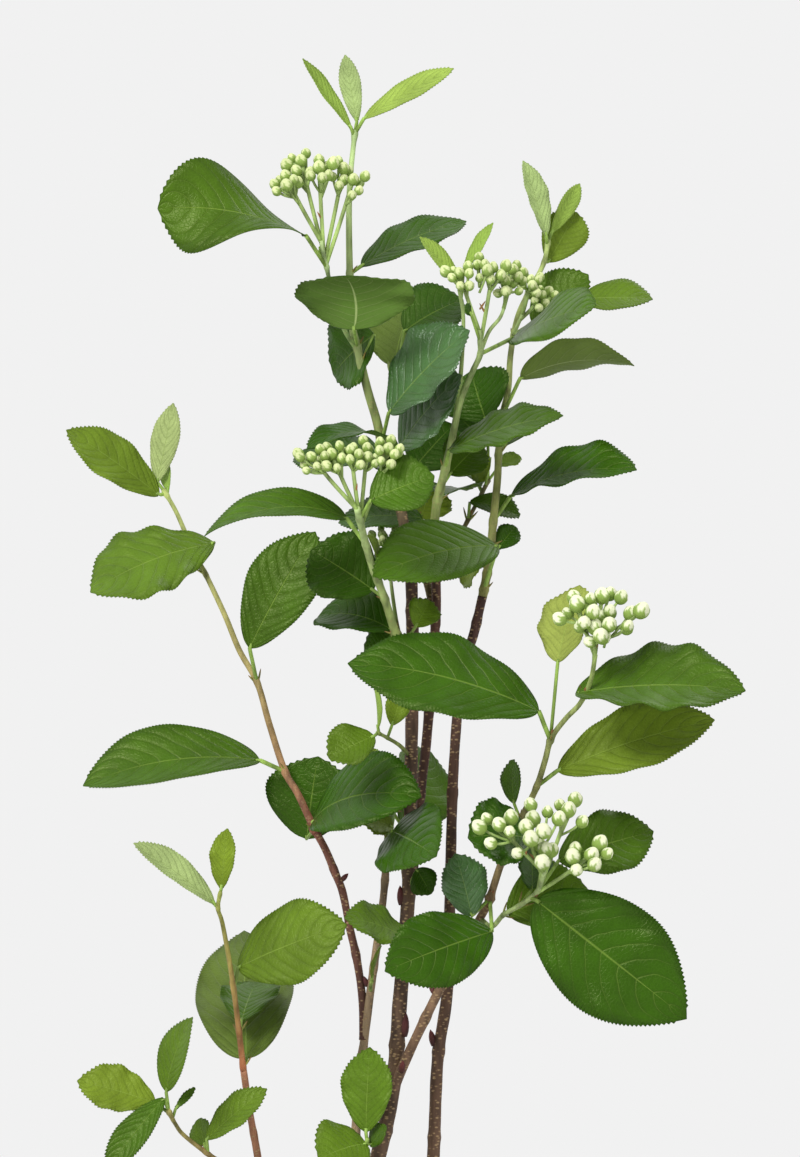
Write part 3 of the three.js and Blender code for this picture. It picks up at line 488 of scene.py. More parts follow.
# %% A tube along a curve
def tube(bm, curve, radius_at, sides, step, paint, colours):
    rings = max(2, round(curve.length / step))
    made = bmesh.ops.create_grid(bm, x_segments=sides, y_segments=rings + 2, size=1)
    chord = curve.places[-1] - curve.places[0]
    reference = Vector((1, 0, 0)) if abs(chord.x) < abs(chord.y) else Vector((0, 1, 0))
    frames = {}
    for vert in made["verts"]:
        row = round((vert.co.y + 1) / 2 * (rings + 2)) - 1
        if row not in frames:
            share = min(max(row, 0), rings) / rings
            place = share * curve.length
            along = curve.along(place)
            across = (reference - along * reference.dot(along)).normalized()
            radius = radius_at(place) if 0 <= row <= rings else 0
            frames[row] = (share, curve.at(place), across * radius,
                           across.cross(along) * radius)
        share, centre, across, other = frames[row]
        vert[paint] = [a + (b - a) * share for a, b in zip(*colours)]
        turn = math.pi * vert.co.x
        vert.co = (centre + across * math.cos(turn) + other * math.sin(turn)) * MM
    bmesh.ops.remove_doubles(bm, verts=made["verts"], dist=WELD)


def bark_paint(pair, wood):
    """The colours at foot and tip, each with how woody the limb is there."""
    return [(*linear(colour)[:3], woody) for colour, woody in zip(pair, wood)]


# %% [markdown]
# Stems rise from the compost and boughs part from them. Each row gives what carries the
# limb, its radii at foot and tip, its bark at foot and tip, and the points of its axis.

# %% Stems and boughs
LIMBS = {
    "stem_main": {
        "on": None, "radii": (3.5, 2.2), "bark": ("#6a5540", "#4d382d"),
        "route": [(-5, -14, 175), (-2.5, -13, 241.5), (2, -10, 326.5), (8.5, -7, 393.5),
                  (17, -4, 434), (20, -3, 468), (23, -2, 507), (24, -2, 554), (24.5, -1, 593),
                  (24, 0, 619.5), (23, 0, 631)],
    },
    "stem_right": {
        "on": None, "radii": (3, 1.7), "bark": ("#6d563f", "#472f27"),
        "route": [(20.5, 12, 170.5), (24.5, 12, 252), (28.5, 11, 342), (32, 10, 412),
                  (33.5, 9, 446), (37, 8, 471.5), (38, 8, 510.5), (39, 8, 546.5), (41, 8, 575),
                  (43.5, 8, 589.5), (46.5, 8, 599), (49.5, 8, 612)],
    },
    "stem_left": {
        "on": None, "radii": (2.8, 1.3), "bark": ("#83705a", "#8f7a5f"),
        "route": [(-10.5, 10, 170.5), (-8, 10, 234.5), (-2, 8, 324.5), (3, 6, 399.5), (4.5, 5, 425),
                  (7, 4, 451.5), (9.5, 4, 471.5), (14, 5, 504), (15.5, 6, 525)],
    },
    "stem_low": {
        "on": None, "radii": (2.3, 1.2), "bark": ("#8f6a50", "#96674c"),
        "route": [(-17, -8, 174), (-18, -9, 237.5), (-22.5, -11, 326.5), (-28.5, -13, 398),
                  (-30.5, -13, 413), (-33.5, -14, 430), (-35.5, -15, 444)],
    },
    "bough_middle": {
        "on": "stem_main", "radii": (1.9, 1.7), "bark": ("#463029", "#56392e"),
        "route": [(21, -3, 480.5), (24, 4, 507), (27, 8, 539), (29.5, 8, 560.5), (32, 6, 593),
                  (33, 4, 611), (32, 2, 632.5)],
    },
    "bough_right": {
        "on": "stem_main", "radii": (1.9, 1.5), "bark": ("#6a5140", "#7c6248"),
        "route": [(17, -4, 435), (22, -8, 447), (27, -11, 458), (34, -14, 472.5), (39.5, -16, 483),
                  (45.5, -18, 493), (51, -20, 503)],
    },
    "bough_left": {
        "on": "stem_left", "radii": (1.5, 1.4), "bark": ("#54382f", "#6e4638"),
        "route": [(7, 4, 453.5), (6.5, 5, 468.5), (4.5, 6, 482.5), (2, 7, 493.5), (-0.5, 8, 506),
                  (-3, 8, 512.5), (-6.5, 9, 521), (-10, 9, 527.5)],
    },
    "bough_top": {
        "on": "stem_main", "radii": (2, 1.8), "bark": ("#554033", "#7d7450"),
        "route": [(23, 0, 630.5), (20.5, 0, 642), (17.5, 0, 651), (14.5, -1, 660)],
    },
    "bough_back": {
        "on": "bough_middle", "radii": (1.5, 1.3), "bark": ("#5a4030", "#6f7245"),
        "route": [(32.5, 6, 603), (31, 8, 611.5), (29, 10, 619.5), (25.5, 13, 630.5)],
    },
}

# %% [markdown]
# A stem isn't an even tube: it flares where it leaves the compost, swells a little at each
# old node, and its thickness wanders. The radius is therefore a function of the distance
# along the limb. Each limb stands for the CAD node of the same name.

# %% Grow the stems and boughs
FLARE = 1.9
FLARE_HEIGHT = 9
NODE_SPACING = 31
FIRST_NODE = 7
NODE_SWELL = 0.16
NODE_REACH = 1.6
WANDER = 0.035
STEM_CUT = COMPOST_LEVEL + 0.3


def limb_radius(limb, place):
    foot, tip = limb["radii"]
    share = place / limb["curve"].length
    radius = foot + (tip - foot) * share
    if limb["on"] is None:
        radius += FLARE * math.exp(-place / FLARE_HEIGHT)
    from_node = (place + FIRST_NODE) % NODE_SPACING - FIRST_NODE
    radius += NODE_SWELL * radius * math.exp(-(from_node / NODE_REACH) ** 2)
    return radius * (1 + WANDER * math.sin(place * 0.37) * math.cos(place * 0.13))


for name, limb in LIMBS.items():
    limb["curve"] = Curve(limb["route"])
    bm = bmesh.new()
    paint = bm.verts.layers.float_color.new("bark_colour")
    tube(bm, limb["curve"], lambda place, limb=limb: limb_radius(limb, place), sides=14, step=1.6,
         paint=paint, colours=bark_paint(limb["bark"], (1, 0.9)))
    if limb["on"] is None:
        everything = [*bm.verts, *bm.edges, *bm.faces]
        bmesh.ops.bisect_plane(bm, geom=everything, plane_co=(0, 0, STEM_CUT * MM),
                               plane_no=(0, 0, 1), clear_inner=True)
        bmesh.ops.holes_fill(bm, edges=bm.edges)
    piece(name + "_bark", bm, [bark], [name])

# %% [markdown]
# A chokeberry leaf is an oval with a short point and fine teeth along its edge. It is made
# from a flat grid that is bent in steps: an arch along its length, a fold along its midrib,
# a twist, a gentle wave, and two rows of the grid for each tooth. The grid is then given its
# thickness. The few numbers of a leaf say where it starts on its shoot, which way its stalk
# and its blade point, how long and wide it is, and how its blade is bent.

# %% What a leaf is told
def leaf(at, way, rise, long, wide, tone="mid", arch=20, face=60, twist=0, fold=8, peak=0.55,
         stalk=(5, 40, 0)):
    return {"at": at, "way": way, "rise": rise, "long": long, "wide": wide, "tone": tone,
            "arch": arch, "face": face, "twist": twist, "fold": fold, "peak": peak,
            "stalk": stalk}


# %% The bend of a blade
LEAST_ARCH = 0.5


def direction(way, rise):
    """The unit vector with this compass angle and this angle above the horizon."""
    way = math.radians(way)
    rise = math.radians(rise)
    level = math.cos(rise)
    return Vector((level * math.cos(way), level * math.sin(way), math.sin(rise)))


def leaf_frame(curve, spec):
    """Root and foot of the leaf's stalk, and the directions along and up from the blade."""
    length, stalk_rise, stalk_way = spec["stalk"]
    root = curve.at(spec["at"])
    foot = root + direction(stalk_way, stalk_rise) * length
    along = direction(spec["way"], spec["rise"])
    side = along.cross(Vector((0, 0, 1))).normalized()
    front = side * (1 if along.x >= 0 else -1)
    face = math.radians(spec["face"])
    normal = side.cross(along) * math.cos(face) + front * math.sin(face)
    return root, foot, along, normal


def width_at(part, peak):
    """The blade's width as a share of its widest, which lies at the peak."""
    if part <= 0 or part >= 1:
        return 0
    shifted = part ** (math.log(0.5) / math.log(peak))
    return math.sin(math.pi * shifted) ** (0.5 + 0.4 * part)


def blade_row(foot, along, normal, spec, part):
    """The midrib's point, and the directions along, up and across the blade there."""
    arch = math.radians(spec["arch"] if abs(spec["arch"]) >= LEAST_ARCH else LEAST_ARCH)
    angle = arch * (part - 0.5)
    reach = spec["long"] / arch
    point = foot + along * reach * (math.sin(angle) + math.sin(arch / 2))
    point += normal * reach * (math.cos(angle) - math.cos(arch / 2))
    tangent = along * math.cos(angle) - normal * math.sin(angle)
    up = normal * math.cos(angle) + along * math.sin(angle)
    twist = math.radians(spec["twist"] * (part - 0.5)) * (1 if along.x >= 0 else -1)
    up = up * math.cos(twist) + tangent.cross(up) * math.sin(twist)
    return point, tangent, up, tangent.cross(up)


# %% [markdown]
# Leaf colours are dealt out leaf by leaf from a few plain greens, the way they are on the
# plant: the tips of the shoots are pale and hairy, the next leaves bright, and the grown
# ones deep green with a gloss. The tones also paint light and shade: one dark green is
# painted shade for leaves that lie in the shade of others, and a few leaves in shade got a
# brighter tone, which paints light on them. The fourth number of a colour is that gloss.

# %% Leaf colours
TONES = {
    "hairy": ("#9bae6f", 0.1),
    "young": ("#8aa648", 0.3),
    "bright": ("#657c21", 0.55),
    "fresh": ("#536f19", 0.65),
    "mid": ("#3d5c10", 0.8),
    "deep": ("#2e5206", 0.85),
    # painted shade: this dark green is given to leaves that lie in the shade of others
    "dark": ("#2b4e0a", 0.85),
    "gloss": ("#3c5f2c", 1.0),
    "olive": ("#566a2a", 0.4),
    "pale": ("#8fa04a", 0.3),
}


def tone_colour(tone, numbers):
    """A leaf's own colour: its tone, made a little lighter or darker and warmer or cooler."""
    colour, gloss = TONES[tone]
    brightness = 0.9 + 0.2 * next(numbers)
    warmth = 0.95 + 0.12 * next(numbers)
    red, green, blue, _ = linear(colour)
    return (red * brightness * warmth, green * brightness, blue * brightness, gloss)


# %% [markdown]
# The leaf's edge has a tooth every 1.2 mm, so a blade has two rows of faces to a tooth. Small
# leaves have smaller teeth and fewer columns. Each vertex also keeps what the material and
# the last step need: its colour, which way is up there, and how large the leaf is.

# %% Grow a blade
TOOTH = 1.2
SMALL_LEAF = 11
TOOTH_DEPTH = 0.48
SMALL_TOOTH_DEPTH = 0.25
WAVE = 0.045
FULL_LEAF = 50
FOOT_HALF_WIDTH = 0.7
TIP_HALF_WIDTH = 0.15


def blade(bm, layers, curve, spec, numbers):
    _, foot, along, normal = leaf_frame(curve, spec)
    small = spec["wide"] <= SMALL_LEAF
    rows = 2 * max(5, round(spec["long"] / TOOTH))
    made = bmesh.ops.create_grid(bm, x_segments=4 if small else 8, y_segments=rows, size=1)
    colour = tone_colour(spec["tone"], numbers)
    teeth = SMALL_TOOTH_DEPTH if small else TOOTH_DEPTH
    wave_count = 2 + round(2 * next(numbers))
    wave_start = math.tau * next(numbers)
    wave_size = WAVE * spec["wide"] * next(numbers)
    fold = math.radians(spec["fold"])
    flat = {vert: (vert.co.x, vert.co.y * 0.5 + 0.5) for vert in made["verts"]}
    for face in {face for vert in flat for face in vert.link_faces}:
        for loop in face.loops:
            x, part = flat[loop.vert]
            loop[layers["uv"]].uv = (x * 0.5 + 0.5, part)
    known = {}
    for vert, (x, part) in flat.items():
        row = round(part * rows)
        if row not in known:
            point, tangent, up, side = blade_row(foot, along, normal, spec, part)
            least = FOOT_HALF_WIDTH + (TIP_HALF_WIDTH - FOOT_HALF_WIDTH) * part
            half = max(spec["wide"] / 2 * width_at(part, spec["peak"]), least)
            known[row] = (point, tangent, up, side, half)
        point, tangent, up, side, half = known[row]
        edge = abs(x)
        wave = wave_size * edge ** 2 * math.sin(wave_start + wave_count * math.tau * part)
        wave *= math.sin(math.pi * part)
        place = point + side * x * half * math.cos(fold * edge)
        place += up * (half * math.sin(fold) * edge ** 1.4 + wave)
        if edge > 0.99 and row % 2 == 1 and 0.08 < part < 0.97:
            place += side * math.copysign(teeth, x) + tangent * teeth * 1.1
        vert[layers["colour"]] = colour
        vert[layers["up"]] = up
        vert[layers["size"]] = min(1, spec["long"] / FULL_LEAF)
        vert.co = place * MM


# %% [markdown]
# The upper skin is smooth and waxy. Its midrib and some nine pairs of side veins lie pressed
# in, and the skin bulges a little between them, so the light breaks up into soft cushions.
# The underside is paler and matt, and there the veins stand out. Both skins are one pattern
# with other numbers. The wax of a leaf gives a slightly yellow-green shine; only the
# glossiest leaves mirror the sky almost white.

# %% The two skins of a leaf
SKINS = {
    "waxy upper leaf skin": {
        "pale": 0, "vein": 0.3, "vein_colour": "#94b04c", "cushion": 1, "rib": -0.9,
    },
    "matt leaf underside": {
        "pale": 0.3, "vein": 0.45, "vein_colour": "#b5c383", "cushion": -0.45, "rib": 1.3,
    },
}
print("leaf skins:", ", ".join(SKINS))

# %% [markdown]
# The veins are drawn from the leaf's own UV map, which runs from base to tip and from edge
# to edge: a side vein is a line on which the place along the leaf grows with the distance
# from the midrib, and slow noise keeps it from being ruled. Where that sum reaches a half
# more than a whole number lies the middle of a cushion, and at a whole number lies a vein.

# %% The pattern of veins
VEIN_PAIRS = 9
VEIN_CLIMB = 0.3
VEIN_CURVE = 1.35
VEIN_WANDER = 9
WANDER_SIZE = 0.045
SIDE_VEIN = 0.55
RIB = 0.036
RIB_AT_FOOT = 1.12 * RIB
RIB_AT_TIP = 0.12 * RIB


def vein_pattern(tree, place):
    """Add the nodes that say, at each place, how far aside it is and what vein it is on."""
    uv = add(tree, "ShaderNodeTexCoord", output="UV")
    across = add(tree, "ShaderNodeSeparateXYZ", {"Vector": uv}, "X")
    lengthwise = add(tree, "ShaderNodeSeparateXYZ", {"Vector": uv}, "Y")
    aside = add(tree, "ShaderNodeMath", {0: across, 1: 0.5}, operation="SUBTRACT")
    aside = add(tree, "ShaderNodeMath", {0: aside}, operation="ABSOLUTE")
    aside = add(tree, "ShaderNodeMath", {0: aside, 1: 2}, operation="MULTIPLY")
    slow = add(tree, "ShaderNodeTexNoise",
               {"Vector": place, "Scale": 1 / (VEIN_WANDER * MM), "Detail": 1})
    wander = add(tree, "ShaderNodeMath", {0: slow, 1: 0.5}, operation="SUBTRACT")
    wander = add(tree, "ShaderNodeMath", {0: wander, 1: WANDER_SIZE}, operation="MULTIPLY")
    climb = add(tree, "ShaderNodeMath", {0: aside, 1: VEIN_CURVE}, operation="POWER")
    climb = add(tree, "ShaderNodeMath", {0: climb, 1: VEIN_CLIMB}, operation="MULTIPLY")
    sloped = add(tree, "ShaderNodeMath", {0: lengthwise, 1: climb}, operation="SUBTRACT")
    sloped = add(tree, "ShaderNodeMath", {0: sloped, 1: wander}, operation="ADD")
    counted = add(tree, "ShaderNodeMath", {0: sloped, 1: VEIN_PAIRS}, operation="MULTIPLY")
    counted = add(tree, "ShaderNodeMath", {0: counted}, operation="FRACT")
    nearness = add(tree, "ShaderNodeMath", {0: counted, 1: 0.5}, operation="SUBTRACT")
    nearness = add(tree, "ShaderNodeMath", {0: nearness}, operation="ABSOLUTE")
    side_vein = add(tree, "ShaderNodeMapRange",
                    {"Value": nearness, "From Min": 0.45, "From Max": 0.5},
                    interpolation_type="SMOOTHSTEP")
    fade = add(tree, "ShaderNodeMapRange", {
        "Value": aside, "From Min": 0.35, "From Max": 0.95, "To Min": 1, "To Max": 0,
    })
    side_vein = add(tree, "ShaderNodeMath", {0: side_vein, 1: fade}, operation="MULTIPLY")
    side_vein = add(tree, "ShaderNodeMath", {0: side_vein, 1: SIDE_VEIN}, operation="MULTIPLY")
    rib_width = add(tree, "ShaderNodeMapRange",
                    {"Value": lengthwise, "To Min": RIB_AT_FOOT, "To Max": RIB_AT_TIP})
    in_ribs = add(tree, "ShaderNodeMath", {0: aside, 1: rib_width}, operation="DIVIDE")
    midrib = add(tree, "ShaderNodeMapRange", {
        "Value": in_ribs, "From Min": 0.3, "From Max": 1.2, "To Min": 1, "To Max": 0,
    }, interpolation_type="SMOOTHSTEP")
    veins = add(tree, "ShaderNodeMath", {0: side_vein, 1: midrib}, operation="MAXIMUM")
    return aside, nearness, veins


# %% [markdown]
# The colour starts from the leaf's own green. It is dappled by slow noise and paler on the
# veins and on the net of the finest ones. Painted shade makes it a little darker in the
# furrows beside the side veins and towards the edge of the blade.

# %% The colour of a skin
DAPPLE = 13


def skin_colour(tree, place, look, pattern, cells):
    aside, nearness, veins = pattern
    slow = add(tree, "ShaderNodeTexNoise",
               {"Vector": place, "Scale": 1 / (DAPPLE * MM), "Detail": 3})
    dapple = add(tree, "ShaderNodeMapRange", {
        "Value": slow, "From Min": 0.3, "From Max": 0.7, "To Min": 0.8, "To Max": 1.2,
    })
    lines = add(tree, "ShaderNodeMapRange", {"Value": cells, "To Min": 0.12, "To Max": 0})
    shade = add(tree, "ShaderNodeMath", {0: dapple, 1: lines}, operation="ADD")
    # painted shade: darker in the furrows beside the side veins
    painted_furrow_shade = add(tree, "ShaderNodeMapRange", {
        "Value": nearness, "From Min": 0.25, "From Max": 0.47, "To Min": 1.02, "To Max": 0.93,
    })
    shade = add(tree, "ShaderNodeMath", {0: shade, 1: painted_furrow_shade}, operation="MULTIPLY")
    # painted shade: darker towards the edge of the blade
    rim = add(tree, "ShaderNodeMapRange", {
        "Value": aside, "From Min": 0.7, "To Min": 1, "To Max": 0.86,
    })
    shade = add(tree, "ShaderNodeMath", {0: shade, 1: rim}, operation="MULTIPLY")
    painted = add(tree, "ShaderNodeAttribute", output="Color", attribute_name="leaf_colour")
    toned = add(tree, "ShaderNodeVectorMath", {0: painted, "Scale": shade}, operation="SCALE")
    body = add(tree, "ShaderNodeMix",
               {"Factor": look["pale"], "A": toned, "B": linear("#7b9446")}, data_type="RGBA")
    on_vein = add(tree, "ShaderNodeMath", {0: veins, 1: look["vein"]}, operation="MULTIPLY")
    return add(tree, "ShaderNodeMix",
               {"Factor": on_vein, "A": body, "B": linear(look["vein_colour"])},
               data_type="RGBA")


# %% [markdown]
# The same parts give the relief: cushions, ribs, the net's cells and a slight pucker. A small
# leaf has flatter cushions, so their height is scaled by the size stored on the leaf.

# %% The relief of a skin
CUSHION_EDGE = 2.4
NET_RELIEF = 0.22
PUCKER = 5
PUCKER_RELIEF = 0.9


def skin_relief(tree, place, look, pattern, cells):
    _, nearness, veins = pattern
    size = add(tree, "ShaderNodeAttribute", output="Fac", attribute_name="leaf_size")
    cushion = add(tree, "ShaderNodeMath", {0: nearness, 1: 2}, operation="MULTIPLY")
    cushion = add(tree, "ShaderNodeMath", {0: cushion, 1: CUSHION_EDGE}, operation="POWER")
    cushion = add(tree, "ShaderNodeMath", {0: 1, 1: cushion}, operation="SUBTRACT")
    cushion = add(tree, "ShaderNodeMath", {0: cushion, 1: look["cushion"]}, operation="MULTIPLY")
    ribs = add(tree, "ShaderNodeMath", {0: veins, 1: look["rib"]}, operation="MULTIPLY")
    height = add(tree, "ShaderNodeMath", {0: cushion, 1: ribs}, operation="ADD")
    height = add(tree, "ShaderNodeMath", {0: height, 1: size}, operation="MULTIPLY")
    cells = add(tree, "ShaderNodeMath", {0: cells, 1: NET_RELIEF}, operation="MULTIPLY")
    height = add(tree, "ShaderNodeMath", {0: height, 1: cells}, operation="ADD")
    pucker = add(tree, "ShaderNodeTexNoise",
                 {"Vector": place, "Scale": 1 / (PUCKER * MM), "Detail": 2})
    pucker = add(tree, "ShaderNodeMath", {0: pucker, 1: PUCKER_RELIEF}, operation="MULTIPLY")
    height = add(tree, "ShaderNodeMath", {0: height, 1: pucker}, operation="ADD")
    return add(tree, "ShaderNodeBump", {"Height": height, "Strength": 0.6, "Distance": 0.4 * MM})


# %% [markdown]
# Both skins get that colour and that relief. The upper one then gets its wax: the more gloss
# is painted on a leaf, the smoother it is. The underside stays matt.

# %% Leaf materials
NET = 1.3


def leaf_skin(name):
    look = SKINS[name]
    skin, tree, shader = new_material(name)
    place = add(tree, "ShaderNodeTexCoord", output="Object")
    pattern = vein_pattern(tree, place)
    net = add(tree, "ShaderNodeTexVoronoi", {"Vector": place, "Scale": 1 / (NET * MM)},
              feature="DISTANCE_TO_EDGE")
    cells = add(tree, "ShaderNodeMapRange", {"Value": net, "From Max": 0.16})
    feed(tree, shader, {
        "Base Color": skin_colour(tree, place, look, pattern, cells),
        "Normal": skin_relief(tree, place, look, pattern, cells),
    })
    return skin, tree, shader


leaf_top, tree, shader = leaf_skin("waxy upper leaf skin")
gloss = add(tree, "ShaderNodeAttribute", output="Alpha", attribute_name="leaf_colour")
waxy = add(tree, "ShaderNodeMapRange", {"Value": gloss, "From Min": 0.86})
tint = add(tree, "ShaderNodeMix",
           {"Factor": waxy, "A": linear("#e2efa6"), "B": linear("#f4fbf4")}, data_type="RGBA")
feed(tree, shader, {
    "Roughness": add(tree, "ShaderNodeMapRange", {"Value": gloss, "To Min": 0.6, "To Max": 0.3}),
    "Specular IOR Level": add(tree, "ShaderNodeMapRange",
                              {"Value": waxy, "To Min": 0.3, "To Max": 0.65}),
    "Specular Tint": tint,
})

leaf_under, tree, shader = leaf_skin("matt leaf underside")
feed(tree, shader, {"Roughness": 0.7, "Specular IOR Level": 0.12})

# %% [markdown]
# The leafy shoots follow, one by one. Each says which mass of foliage it belongs to and what
# carries it, then its radii, its bark from foot to tip, the points of its axis, its leaves,
# and the heads of its flower cluster: an offset from its tip and a number of buds for each.
# The last four shoots grow by a rule and give only how many leaves they have, how long these
# are and where the first one points.

# %% What a shoot is told
SHOOTS = []


def shoot(name, mass, on, radii, bark, route, leaves=(), bud=0, heads=(), seeded=None):
    SHOOTS.append({
        "mass": mass, "radii": radii, "bark": bark, "curve": Curve(route),
        "leaves": list(leaves), "bud": bud, "heads": heads, "seeded": seeded,
    })
    print("shoot", name, "on", on, "leaves:", len(leaves), "heads:", len(heads))


# %% The top shoot
shoot(
    "top", "foliage_top", "bough_top", (1.8, 0.9), ("#7f8a4a", "#a8bf80"),
    route=[(14.5, -1, 659.5), (12, -1, 673.5), (8.5, -2, 685.5), (4.5, -3, 702), (3, -3, 709),
           (2, -3, 730.5), (2, -3, 757), (4, -3, 778.5)],
    leaves=[
        leaf(118, -174, 55, 30, 7, tone="young", arch=-12, face=50, fold=30, stalk=(4, 53, -120)),
        leaf(120, 158, 79, 24, 8, tone="hairy", arch=10, face=70, fold=26, stalk=(4, 79, 23)),
        leaf(119, -3, 29, 36.5, 12, tone="young", arch=10, face=42, stalk=(7, 53, -36)),
        leaf(69, 15, 23, 42.5, 24, tone="deep", arch=24, face=26, fold=6, stalk=(5.5, 34, 24)),
        leaf(43, -117, 68, 24, 47, tone="dark", arch=110, face=0, fold=2, stalk=(19, 16, -93)),
        leaf(37, 148, -39, 22.5, 32, tone="dark", arch=25, face=66, stalk=(11.5, 62, 30)),
        leaf(7, -23, 43, 42.5, 34, tone="gloss", face=56, fold=12, stalk=(14, 53, -71)),
        leaf(2, -39, 42, 38, 28, tone="gloss", face=70, stalk=(7, 34, 7)),
        leaf(2, -146, -1, 41, 15, tone="dark", arch=70, face=14, twist=30, fold=12,
             stalk=(6.5, 34, -27)),
        leaf(3, 160, 2, 36.5, 28, tone="dark", face=28, fold=10, stalk=(6, -23, 72)),
        leaf(55, 100, 17, 30, 19, arch=25, face=0, fold=10, stalk=(6, 32, 100)),
    ],
)

# %% The top flower stalk
shoot(
    "top_side", "foliage_top", "top", (0.9, 0.7), ("#8ba55f", "#a9be83"),
    route=[(4, -3, 701), (0, -8, 707.5), (-4, -14, 719), (-6, -19.5, 729), (-8, -24, 738)],
    leaves=[
        leaf(34, -176, 10, 54.5, 37, arch=45, face=48, twist=90, fold=6, peak=0.7,
             stalk=(16.5, 41, -126)),
        leaf(34, -147, 73, 4.5, 4, tone="young", arch=0, fold=10, stalk=(4.5, 48, 116)),
    ],
    bud=2.1,
    heads=[(-12.5, -3, 21, 4), (-7, 3, 26.5, 3), (-0.6, -2, 25, 5), (8, 2, 24.5, 4),
           (11.5, -1, 20.5, 1)],
)

# %% The shoot behind the middle
shoot(
    "back", "foliage_back", "bough_back", (1.3, 0.7), ("#6b7a3c", "#8fa35a"),
    route=[(25.5, 13, 630), (24.5, 20, 650.5), (23.5, 28.5, 665), (20, 38, 679.5),
           (16.5, 48, 694.5), (15.5, 58, 702)],
    leaves=[
        leaf(76, 45, 68, 25, 32, tone="olive", face=0, fold=12, stalk=(1.7, 13, -22)),
        leaf(65, 12, 28, 25, 28, tone="dark", arch=25, face=40, fold=12, stalk=(22, 77, -48)),
        leaf(30, 25, 45, 22.5, 26, tone="dark", face=55, fold=12, stalk=(1.2, 26, -34)),
        leaf(10, 65, 59, 15, 20, tone="bright", arch=15, fold=15, stalk=(2.7, 15, 20)),
        leaf(1, 174, -3, 30.5, 23, tone="dark", arch=30, face=30, stalk=(10, 67, -53)),
        leaf(23, 119, 11, 36, 23, arch=25, face=0, fold=10, stalk=(6, 26, 119)),
    ],
)

# %% The middle shoot
shoot(
    "middle", "foliage_middle", "bough_middle", (1.7, 0.9), ("#7f8a48", "#a3b878"),
    route=[(32, 2, 632), (33, -1, 644.5), (36, -5, 657), (38.5, -8.5, 668), (41, -12, 680),
           (43.5, -14.5, 687), (46, -17.5, 692.5), (48.5, -20, 698.5), (48, -23, 706.5)],
    leaves=[
        leaf(27, -17, 16, 44, 26, arch=22, face=33, twist=-10, fold=4, stalk=(10, 41, -80)),
        leaf(19, 18, 44, 16, 19, face=55, fold=15, stalk=(7, 52, 34)),
        leaf(76, -132, 52, 4.5, 5, tone="dark", arch=0, face=75, fold=0, stalk=(12.5, 52, -116)),
        leaf(72, -57, 11, 54.5, 25, arch=15, face=48, twist=20, fold=4, stalk=(27.5, 13, 65)),
        leaf(15, 72, 4, 29, 19, arch=25, face=0, fold=10, stalk=(6, 19, 72)),
    ],
    bud=1.9,
    heads=[(-7, -2, 19.5, 4), (0, 1, 22, 5), (5, 3, 21.5, 3)],
)

# %% The middle shoot's young tip
shoot(
    "middle_side", "foliage_middle", "middle", (0.9, 0.6), ("#8ba25a", "#a4ba74"),
    route=[(39.5, -10, 673), (41.5, -14, 690), (42.5, -16, 710), (41, -17, 721)],
    leaves=[
        leaf(49, -168, 50, 22.5, 8, tone="young", arch=5, face=55, fold=22, stalk=(2.3, 32, -82)),
        leaf(45, -13, 58, 20, 7, tone="young", arch=-10, face=50, fold=22, stalk=(12, 63, 80)),
    ],
)

# %% The middle shoot's second cluster
shoot(
    "middle_b", "foliage_middle", "middle", (0.8, 0.6), ("#95ac66", "#a4ba7a"),
    route=[(48.5, -19.5, 698.5), (51.5, -18.5, 706), (55.5, -17, 711), (57.5, -13.5, 716.5)],
    bud=1.9,
    heads=[(0.1, -2, 6, 3), (2.7, 2, 10, 4)],
)

# %% The right shoot
shoot(
    "right", "foliage_right", "stem_right", (1.6, 0.8), ("#7b7a42", "#9fb068"),
    route=[(49.5, 8, 611.5), (52, 9.5, 625), (53.5, 12, 639.5), (55, 14.5, 654),
           (55.5, 18.5, 664.5), (56.5, 22.5, 675.5), (59, 27, 686.5), (60, 31.5, 699.5),
           (62.5, 36, 713), (67, 40.5, 723), (72, 44, 732.5), (74, 48, 741.5)],
    leaves=[
        leaf(59, 128, 65, 20, 30, tone="dark", arch=15, face=65, fold=12, stalk=(8.5, 54, 166)),
        leaf(117, -10, 0, 26.5, 18, tone="fresh", arch=16, face=40, twist=-20, fold=10,
             stalk=(19.5, -6, -10)),
        leaf(100, 1, 41, 27, 22, arch=15, face=55, fold=10, stalk=(14.5, 19, 59)),
        leaf(68, -5, 6, 42.5, 28, tone="olive", arch=50, face=-22, twist=20, fold=12,
             stalk=(16.5, 56, -45)),
        leaf(28, -30, 10, 53, 28, tone="deep", arch=38, face=34, fold=16, stalk=(12.5, 48, 40)),
        leaf(9, 151, -54, 12.5, 16, tone="bright", face=55, fold=15, stalk=(6.5, 60, 132)),
        leaf(19, 47, 41, 12, 9, tone="dark", arch=10, face=50, fold=15, stalk=(3, -12, 23)),
        leaf(138, -179, 73, 28.5, 10, tone="hairy", arch=12, fold=30, stalk=(4, 61, -106)),
        leaf(139, 45, 51, 23.5, 7, tone="young", arch=10, fold=30, stalk=(5, 55, 58)),
        leaf(131, 43, 52, 23.5, 17, tone="bright", arch=15, face=50, fold=14, stalk=(4.5, 6, 66)),
        leaf(3, -143, -11, 57.5, 29, arch=38, face=44, stalk=(19.5, 53, -67)),
        leaf(53, 58, 22, 30, 19, arch=25, face=0, fold=10, stalk=(6, 37, 58)),
        leaf(14, 100, 5, 37, 24, arch=25, face=0, fold=10, stalk=(6, 20, 100)),
    ],
)

# %% The right shoot's cluster
shoot(
    "right_b", "foliage_right", "right", (0.8, 0.6), ("#95ac66", "#a4ba7a"),
    route=[(61, 33, 706.5), (62.5, 30, 710), (64.5, 29, 714.5)],
    bud=1.8,
    heads=[(2.8, -2, 11.5, 4), (7, 2, 5.5, 3)],
)

